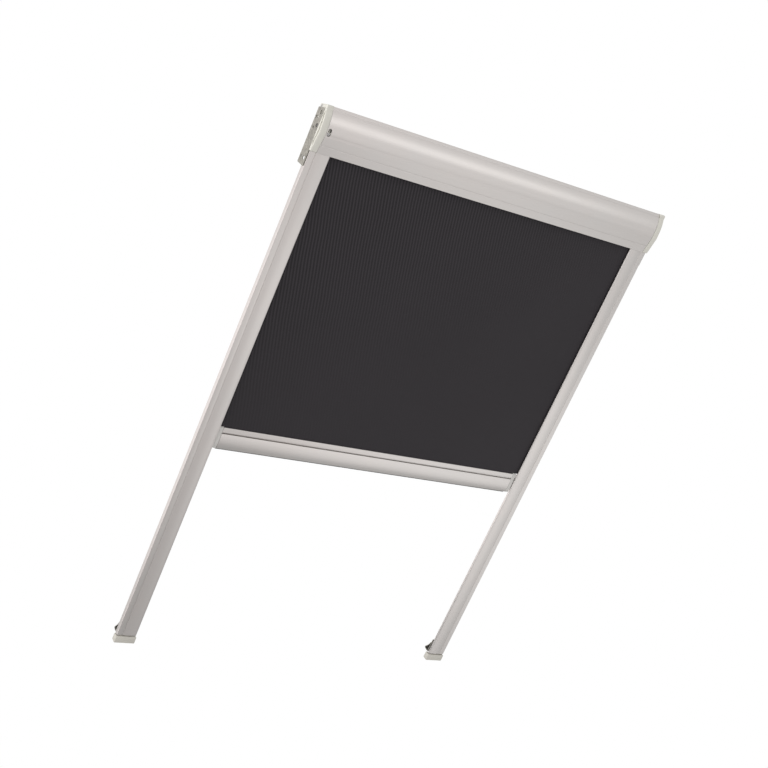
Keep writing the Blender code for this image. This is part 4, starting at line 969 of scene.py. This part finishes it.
def crowned(bm):
    """Turn the dish of a rail's face into as slight a crown."""
    edge_x = min(abs(vert.co.x) for vert in bm.verts)
    for vert in bm.verts:
        if RAIL_FACE[0] < abs(vert.co.x) - edge_x < RAIL_FACE[1] and vert.co.y < RAIL_DISH:
            vert.co.y *= -sizes().crown


class BLIND_OT_rails(bpy.types.Operator):
    """Side rails with their pile strips"""

    bl_idname = "blind.rails"
    bl_label = "Side rails"

    def execute(self, context):
        for side in SIDES:
            copied("side_rail", "rail", "extrusion_edge", "rail aluminium", "frame", side, crowned)
            grow_pile(f"rail_light_seal_{side}", f"rail_pile_{side}", "Z")
        return {"FINISHED"}


class BLIND_OT_feet(bpy.types.Operator):
    """Caps and folded clips at the feet of the rails"""

    bl_idname = "blind.feet"
    bl_label = "Feet"

    def execute(self, context):
        for side in SIDES:
            copied(
                "rail_foot_cap", "foot_cap", "moulded_edge", "foot plastic", "frame", side,
                lowered_cap,
            )
            copied("foot_clip", "spring_clip", "pressed_edge", "galvanised", "frame", side)
        return {"FINISHED"}


WINDING_PITCH = 1.07  # of the cloth's turns, with the air between them, in thicknesses
WINDING_CLOTH = 0.98  # the wound cloth's thickness, as a share of the drawn cloth's
NOSE_STEPS = 10  # of the cloth's bend over the guide nose


class BLIND_OT_roller(bpy.types.Operator):
    """Roller tube with its plugs and the fabric wound on it"""

    bl_idname = "blind.roller"
    bl_label = "Roller"

    def execute(self, context):
        copied("roller_tube", "tube", "extrusion_edge", "tube aluminium", "roller")
        for side in SIDES:
            copied("roller_plug", "tube_plug", "extrusion_edge", "natural plastic", "roller", side)
        copied("spring_drive_plug", "drive_plug", "extrusion_edge", "natural plastic", "roller")
        low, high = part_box("fabric_roll")
        axis = (low + high) / 2
        outer = (high.y - low.y) / 2 - sizes().cloth / 2
        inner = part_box("roller_tube")[1].y - axis.y + sizes().clearance + sizes().cloth / 2
        turns = (outer - inner) / (sizes().cloth * WINDING_PITCH)
        wound = winding_growth().grown(
            "wound_fabric", "fabric", Turns=turns, Outer=outer, Inner=inner, Width=high.x - low.x,
            Start=leaving_angle() + pi / 2, Place=Vector((low.x, axis.y, axis.z)),
        )
        thicken(wound, sizes().cloth * WINDING_CLOTH)
        dressed(wound, "fabric", "roller", "fabric_roll")
        return {"FINISHED"}


def thicken(obj, thickness):
    """Give a sheet its thickness, half to each side."""
    modifier = obj.modifiers.new("thickness", "SOLIDIFY")
    modifier.thickness = thickness
    modifier.offset = 0.0
    obj.data.shade_smooth()
    settled(obj)
    obj.data.set_sharp_from_angle(angle=CREASE)


def roll_and_nose():
    """Middle and reach, in Y and Z, of the roll and the nose; each reaches the cloth's middle."""
    low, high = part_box("fabric_roll")
    stand = sizes().clearance + sizes().cloth / 2
    roll = Vector(((low.y + high.y) / 2, (low.z + high.z) / 2))
    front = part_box("blackout_fabric")[0].y + sizes().cloth / 2
    nose = Vector((front + stand + sizes().nose, sizes().nose))
    return roll, (high.y - low.y) / 2 + stand, nose, sizes().nose + stand


def leaving_angle():
    """Angle in the YZ plane at which the fabric leaves the roll."""
    roll, roll_reach, nose, nose_reach = roll_and_nose()
    between = nose - roll
    return atan2(between.y, between.x) + acos((roll_reach + nose_reach) / between.length)


class BLIND_OT_fabric(bpy.types.Operator):
    """Blackout fabric from the roll, over the guide nose and down into the bar"""

    bl_idname = "blind.fabric"
    bl_label = "Fabric"

    def execute(self, context):
        line, front, shoulder = self.way_down()
        low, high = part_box("blackout_fabric")
        tuck = [Vector((front, shoulder + (low.z - shoulder) * i / 2)) for i in (1, 2)]
        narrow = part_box("keder_rod")[1].x - sizes().clearance
        inner = round(2 * narrow / sizes().cloth_column)
        hem = [-narrow + 2 * narrow * i / inner for i in range(inner + 1)]
        bm = bmesh.new()
        grid = [[bm.verts.new((x, *point)) for x in (low.x, *hem, high.x)] for point in line]
        grid += [[bm.verts.new((x, *point)) for x in hem] for point in tuck]
        for above, below in zip(grid, grid[1:]):
            above = above[1:-1] if len(above) > len(below) else above
            for j in range(len(below) - 1):
                bm.faces.new((above[j], above[j + 1], below[j + 1], below[j]))
        cloth = stored("drawn_fabric", bm)
        thicken(cloth, sizes().cloth)
        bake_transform(cloth)
        dressed(cloth, "fabric", None, "blackout_fabric")
        return {"FINISHED"}

    def way_down(self):
        """Line in Y and Z from the roll to just above the bar, and the two numbers of its end."""
        roll, roll_reach, nose, nose_reach = roll_and_nose()
        angle = leaving_angle()
        line = [roll + Vector((cos(angle), sin(angle))) * roll_reach]
        for i in range(NOSE_STEPS + 1):
            bend = angle * (1 - i / NOSE_STEPS)
            line.append(nose - Vector((cos(bend), sin(bend))) * nose_reach)
        front = nose.x - nose_reach
        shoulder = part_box("bottom_bar")[1].z + 3 * sizes().clearance
        rows = round((nose.y - shoulder) / sizes().cloth_row)
        straight = [nose.y + (shoulder - nose.y) * i / rows for i in range(1, rows + 1)]
        return line + [Vector((front, z)) for z in straight], front, shoulder


class BLIND_OT_spring_motor(bpy.types.Operator):
    """Shaft, anchor and torsion spring inside the roller, and the pin at its far end"""

    bl_idname = "blind.spring_motor"
    bl_label = "Spring motor"

    def execute(self, context):
        copied("spring_shaft", "motor_shaft", "pressed_edge", "shaft steel", "frame")
        copied("idle_pin", "end_pin", "pressed_edge", "shaft steel", "frame")
        copied("spring_anchor", "motor_anchor", "pressed_edge", "natural plastic", "frame")
        low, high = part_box("torsion_spring")
        axis = (low + high) / 2
        wire = sizes().spring_wire / 2
        coil = spring_growth().grown(
            "coil_spring", "spring steel", Turns=float(sizes().spring_turns), Wire=wire,
            Radius=(high.y - low.y) / 2 - wire, Length=high.x - low.x - 2 * wire,
            Place=Vector((low.x + wire, axis.y, axis.z)),
        )
        coil.data.shade_smooth()
        dressed(coil, "spring steel", "frame", "torsion_spring")
        return {"FINISHED"}


class BLIND_OT_bar(bpy.types.Operator):
    """Bottom bar with the rod that holds the hem and the seal below"""

    bl_idname = "blind.bar"
    bl_label = "Bottom bar"

    def execute(self, context):
        copied("bottom_bar", "bar_profile", "fine_edge", "cassette aluminium", "bar")
        copied("keder_rod", "hem_rod", "extrusion_edge", "natural plastic", "bar")
        copied("bar_seal", "sealing_strip", "moulded_edge", "rubber", "bar")
        return {"FINISHED"}


class BLIND_OT_bar_ends(bpy.types.Operator):
    """Caps of the bar, and the sprung shoes that run in the rails"""

    bl_idname = "blind.bar_ends"
    bl_label = "Bar ends"

    def execute(self, context):
        for side in SIDES:
            copied("bar_end_cap", "bar_cap", "moulded_edge", "bar cap plastic", "bar", side)
            copied("guide_shoe", "shoe", "fine_edge", "shoe plastic", "bar", side)
            copied("brake_spring", "brake_leaf", "leaf_edge", "spring steel", "bar", side)
        return {"FINISHED"}


# Stage

# Where the photograph was taken from, and where its right and its top point
EYE = Vector((-1.10603, -1.49015, 0.32363))
EYE_RIGHT = Vector((0.82091, -0.42046, 0.38642))
EYE_UP = Vector((-0.16137, 0.47830, 0.86324))
SENSOR = 36.0
PICTURE = 768  # its width in pixels
FOCAL = 1296.34  # its focal length in pixels

# Lamps: middle, the way they shine, width and height, and whether metal mirrors them
LAMPS = {
    "strip": ((0.52, -1.0, 0.30), (0, 1, 0), (1.10, 0.36), True),
    "low_box": ((1.03, -1.0, -1.03), (0, 1, 0), (1.10, 0.84), True),
    "fill": ((0.62, -1.0, -0.555), (0, 1, 0), (0.84, 0.33), True),
    "wing": ((-2.6, -0.2, 0.3), (1, 0, 0), (2.0, 2.0), False),
}


def add_lamp(name, centre, towards, spread, mirrored):
    """Rectangular lamp that the camera doesn't see, and that metal may mirror."""
    lamp = bpy.data.lights.new(name, "AREA")
    lamp.shape = "RECTANGLE"
    lamp.size, lamp.size_y = spread
    lamp.energy = 4 * spread[0] * spread[1] * getattr(stage(), name)
    obj = bpy.data.objects.new(name, lamp)
    obj.location = centre
    obj.rotation_euler = (-Vector(towards)).to_track_quat("Z", "Y").to_euler()
    obj.visible_camera = False
    obj.visible_glossy = mirrored
    bpy.context.scene.collection.objects.link(obj)


# Brightness that a mirror shows from straight down to straight up
STUDIO_LEVELS = [
    (0.0, 0.4), (0.222, 0.38), (0.25, 0.53), (0.27, 0.72), (0.3, 0.8), (0.371, 0.84),
    (0.456, 0.87), (0.587, 0.87), (0.75, 0.93), (0.933, 1.0),
]
# The same from far left to far right, as a share of it
SIDE_LEVELS = [
    (0.5, 0.46), (0.64, 0.45), (0.72, 0.49), (0.78, 0.52), (0.805, 0.51), (0.835, 0.43),
    (0.9, 0.4), (1.0, 0.46),
]
FRONT = 2.0  # brightness that both of them are shares of
CORNER = 0.75  # how much of it is missing high on the right
BEHIND = 1.25
WINDOW = 2.2  # far left
WHITE = (1.0, 1.0, 1.0)
PINK = (1.040, 0.998, 0.998)
FLOOR_LEVEL = 0.45


def add_world():
    """Studio darker low down in front, bright behind and on the left, and white to the eye."""
    world = bpy.data.worlds.new("studio")
    world.use_nodes = True
    bpy.context.scene.world = world
    nodes = Nodes(world.node_tree)
    x, y, z = nodes.axes(nodes.node("ShaderNodeTexCoord", output="Generated"))
    corner = nodes.rise(x, 0.48, 0.72) * nodes.rise(z, 0.40, 0.90)
    level = nodes.graded(z, STUDIO_LEVELS) * nodes.graded(x, SIDE_LEVELS)
    front = level * (FRONT - corner * CORNER)
    # Behind, it is dimmer under the feet and in a band below the middle
    feet, band = nodes.rise(z, -0.56, -0.44), nodes.rise(z, -0.27, -0.19)
    behind = BEHIND * (0.45 + feet * 0.55 - band * 0.30)
    away = front + (behind - front) * nodes.rise(y, 0.0, 0.5)
    left = nodes.rise(x, -0.72, -0.84) * nodes.rise(y, -0.35, -0.20)
    mirrored = away + (WINDOW - away) * left
    hue = nodes.mixed(PINK, WHITE, nodes.rise(x, 0.35, 0.75))
    plain = 0.92 + z * 0.08 - x * 0.06
    shown, seen = light_paths(nodes)
    light = nodes.mixed(plain, nodes.toned(hue, mirrored), shown)
    sky = nodes.mixed(light, WHITE, seen)
    join(world.node_tree, sky, world.node_tree.nodes["Background"].inputs["Color"])


def light_paths(nodes):
    """1 for rays that metal and glass send on, and 1 for the camera's own."""
    glossy, passed, seen = (
        nodes.node("ShaderNodeLightPath", output=f"Is {kind} Ray")
        for kind in ("Glossy", "Transmission", "Camera")
    )
    return glossy.most(passed), seen


FLOOR_FADE = (0.30, 0.75)  # where the floor starts and ends to fade, as shares of its half


def add_floor():
    """Pale floor well under the blind, which fades into white."""
    half = stage().floor_size / 2
    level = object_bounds()[0].z - stage().floor_drop
    bm = bmesh.new()
    corners = ((-1, -1), (1, -1), (1, 1), (-1, 1))
    bm.faces.new([bm.verts.new((x * half, y * half, level)) for x, y in corners])
    floor = stored("studio_floor", bm)
    finish = Finish("studio floor")
    grain = finish.noise(30.0, 3.0)
    finish.surface(
        base_color=finish.toned((0.86, 0.86, 0.86), 0.985 + grain * 0.03), roughness=0.9,
    )
    tree = finish.tree
    x, y, _ = finish.axes(finish.place())
    away = finish.rise((x * x + y * y) ** 0.5, *(half * share for share in FLOOR_FADE))
    shown, seen = light_paths(finish)
    bright = FLOOR_LEVEL + (1.0 - FLOOR_LEVEL) * seen
    glow = finish.node("ShaderNodeEmission", inputs={"Color": bright, "Strength": 1.0})
    glowing = shown.most(seen * (0.6 + away * 0.4))
    both = finish.node(
        "ShaderNodeMixShader",
        inputs={0: glowing, 1: Value(tree, finish.shader.outputs[0]), 2: glow},
    )
    tree.links.new(both.socket, tree.nodes["Material Output"].inputs["Surface"])
    floor.data.materials.append(finish.material)
    floor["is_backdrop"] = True


def add_camera():
    """Camera where the photograph was taken from."""
    lens = bpy.data.cameras.new("camera")
    lens.sensor_width = SENSOR
    lens.lens = FOCAL / PICTURE * SENSOR
    lens.clip_start, lens.clip_end = 0.05, 50.0
    camera = bpy.data.objects.new("camera", lens)
    back = EYE_RIGHT.cross(EYE_UP)
    turn = Matrix((EYE_RIGHT, EYE_UP, back)).transposed()
    camera.matrix_world = Matrix.Translation(EYE) @ turn.to_4x4()
    bpy.context.scene.collection.objects.link(camera)
    bpy.context.scene.camera = camera


class BLIND_OT_stage(bpy.types.Operator):
    """Floor, lamps, white surroundings and the camera"""

    bl_idname = "blind.stage"
    bl_label = "Stage"

    def execute(self, context):
        add_camera()
        add_world()
        add_floor()
        for name, placed in LAMPS.items():
            add_lamp(name, *placed)
        context.scene.view_settings.view_transform = "Standard"
        return {"FINISHED"}


OPERATORS = (
    BLIND_OT_cassette, BLIND_OT_end_caps, BLIND_OT_rails, BLIND_OT_feet, BLIND_OT_fasteners,
    BLIND_OT_roller, BLIND_OT_spring_motor, BLIND_OT_bar, BLIND_OT_bar_ends, BLIND_OT_fabric,
    BLIND_OT_stage,
)


class BLIND_PT_panel(bpy.types.Panel):
    """The blind's pieces and settings"""

    bl_label = "Roof window blind"
    bl_idname = "BLIND_PT_panel"
    bl_space_type = "VIEW_3D"
    bl_region_type = "UI"
    bl_category = "Blind"

    def draw(self, context):
        column = self.layout.column()
        for operator in OPERATORS:
            column.operator(operator.bl_idname)
        for group in GROUPS:
            settings = getattr(context.scene, group)
            for name in settings.__annotations__:
                column.prop(settings, name)


GROUPS = {"blind_sizes": BlindSizes, "blind_colours": BlindColours, "blind_stage": BlindStage}
CLASSES = (*GROUPS.values(), *OPERATORS, BLIND_PT_panel)


def register():
    for kind in CLASSES:
        bpy.utils.register_class(kind)
    for group, kind in GROUPS.items():
        setattr(bpy.types.Scene, group, PointerProperty(type=kind))


def unregister():
    for group in GROUPS:
        delattr(bpy.types.Scene, group)
    for kind in reversed(CLASSES):
        bpy.utils.unregister_class(kind)


def main():
    """Build every piece in order."""
    for obj in list(bpy.data.objects):
        if obj.type in {"CAMERA", "LIGHT"} or obj.name == "Cube":
            bpy.data.objects.remove(obj)
    register()
    make_finishes()
    for operator in OPERATORS:
        group, name = operator.bl_idname.split(".")
        getattr(getattr(bpy.ops, group), name)()


if __name__ == "__main__":
    main()
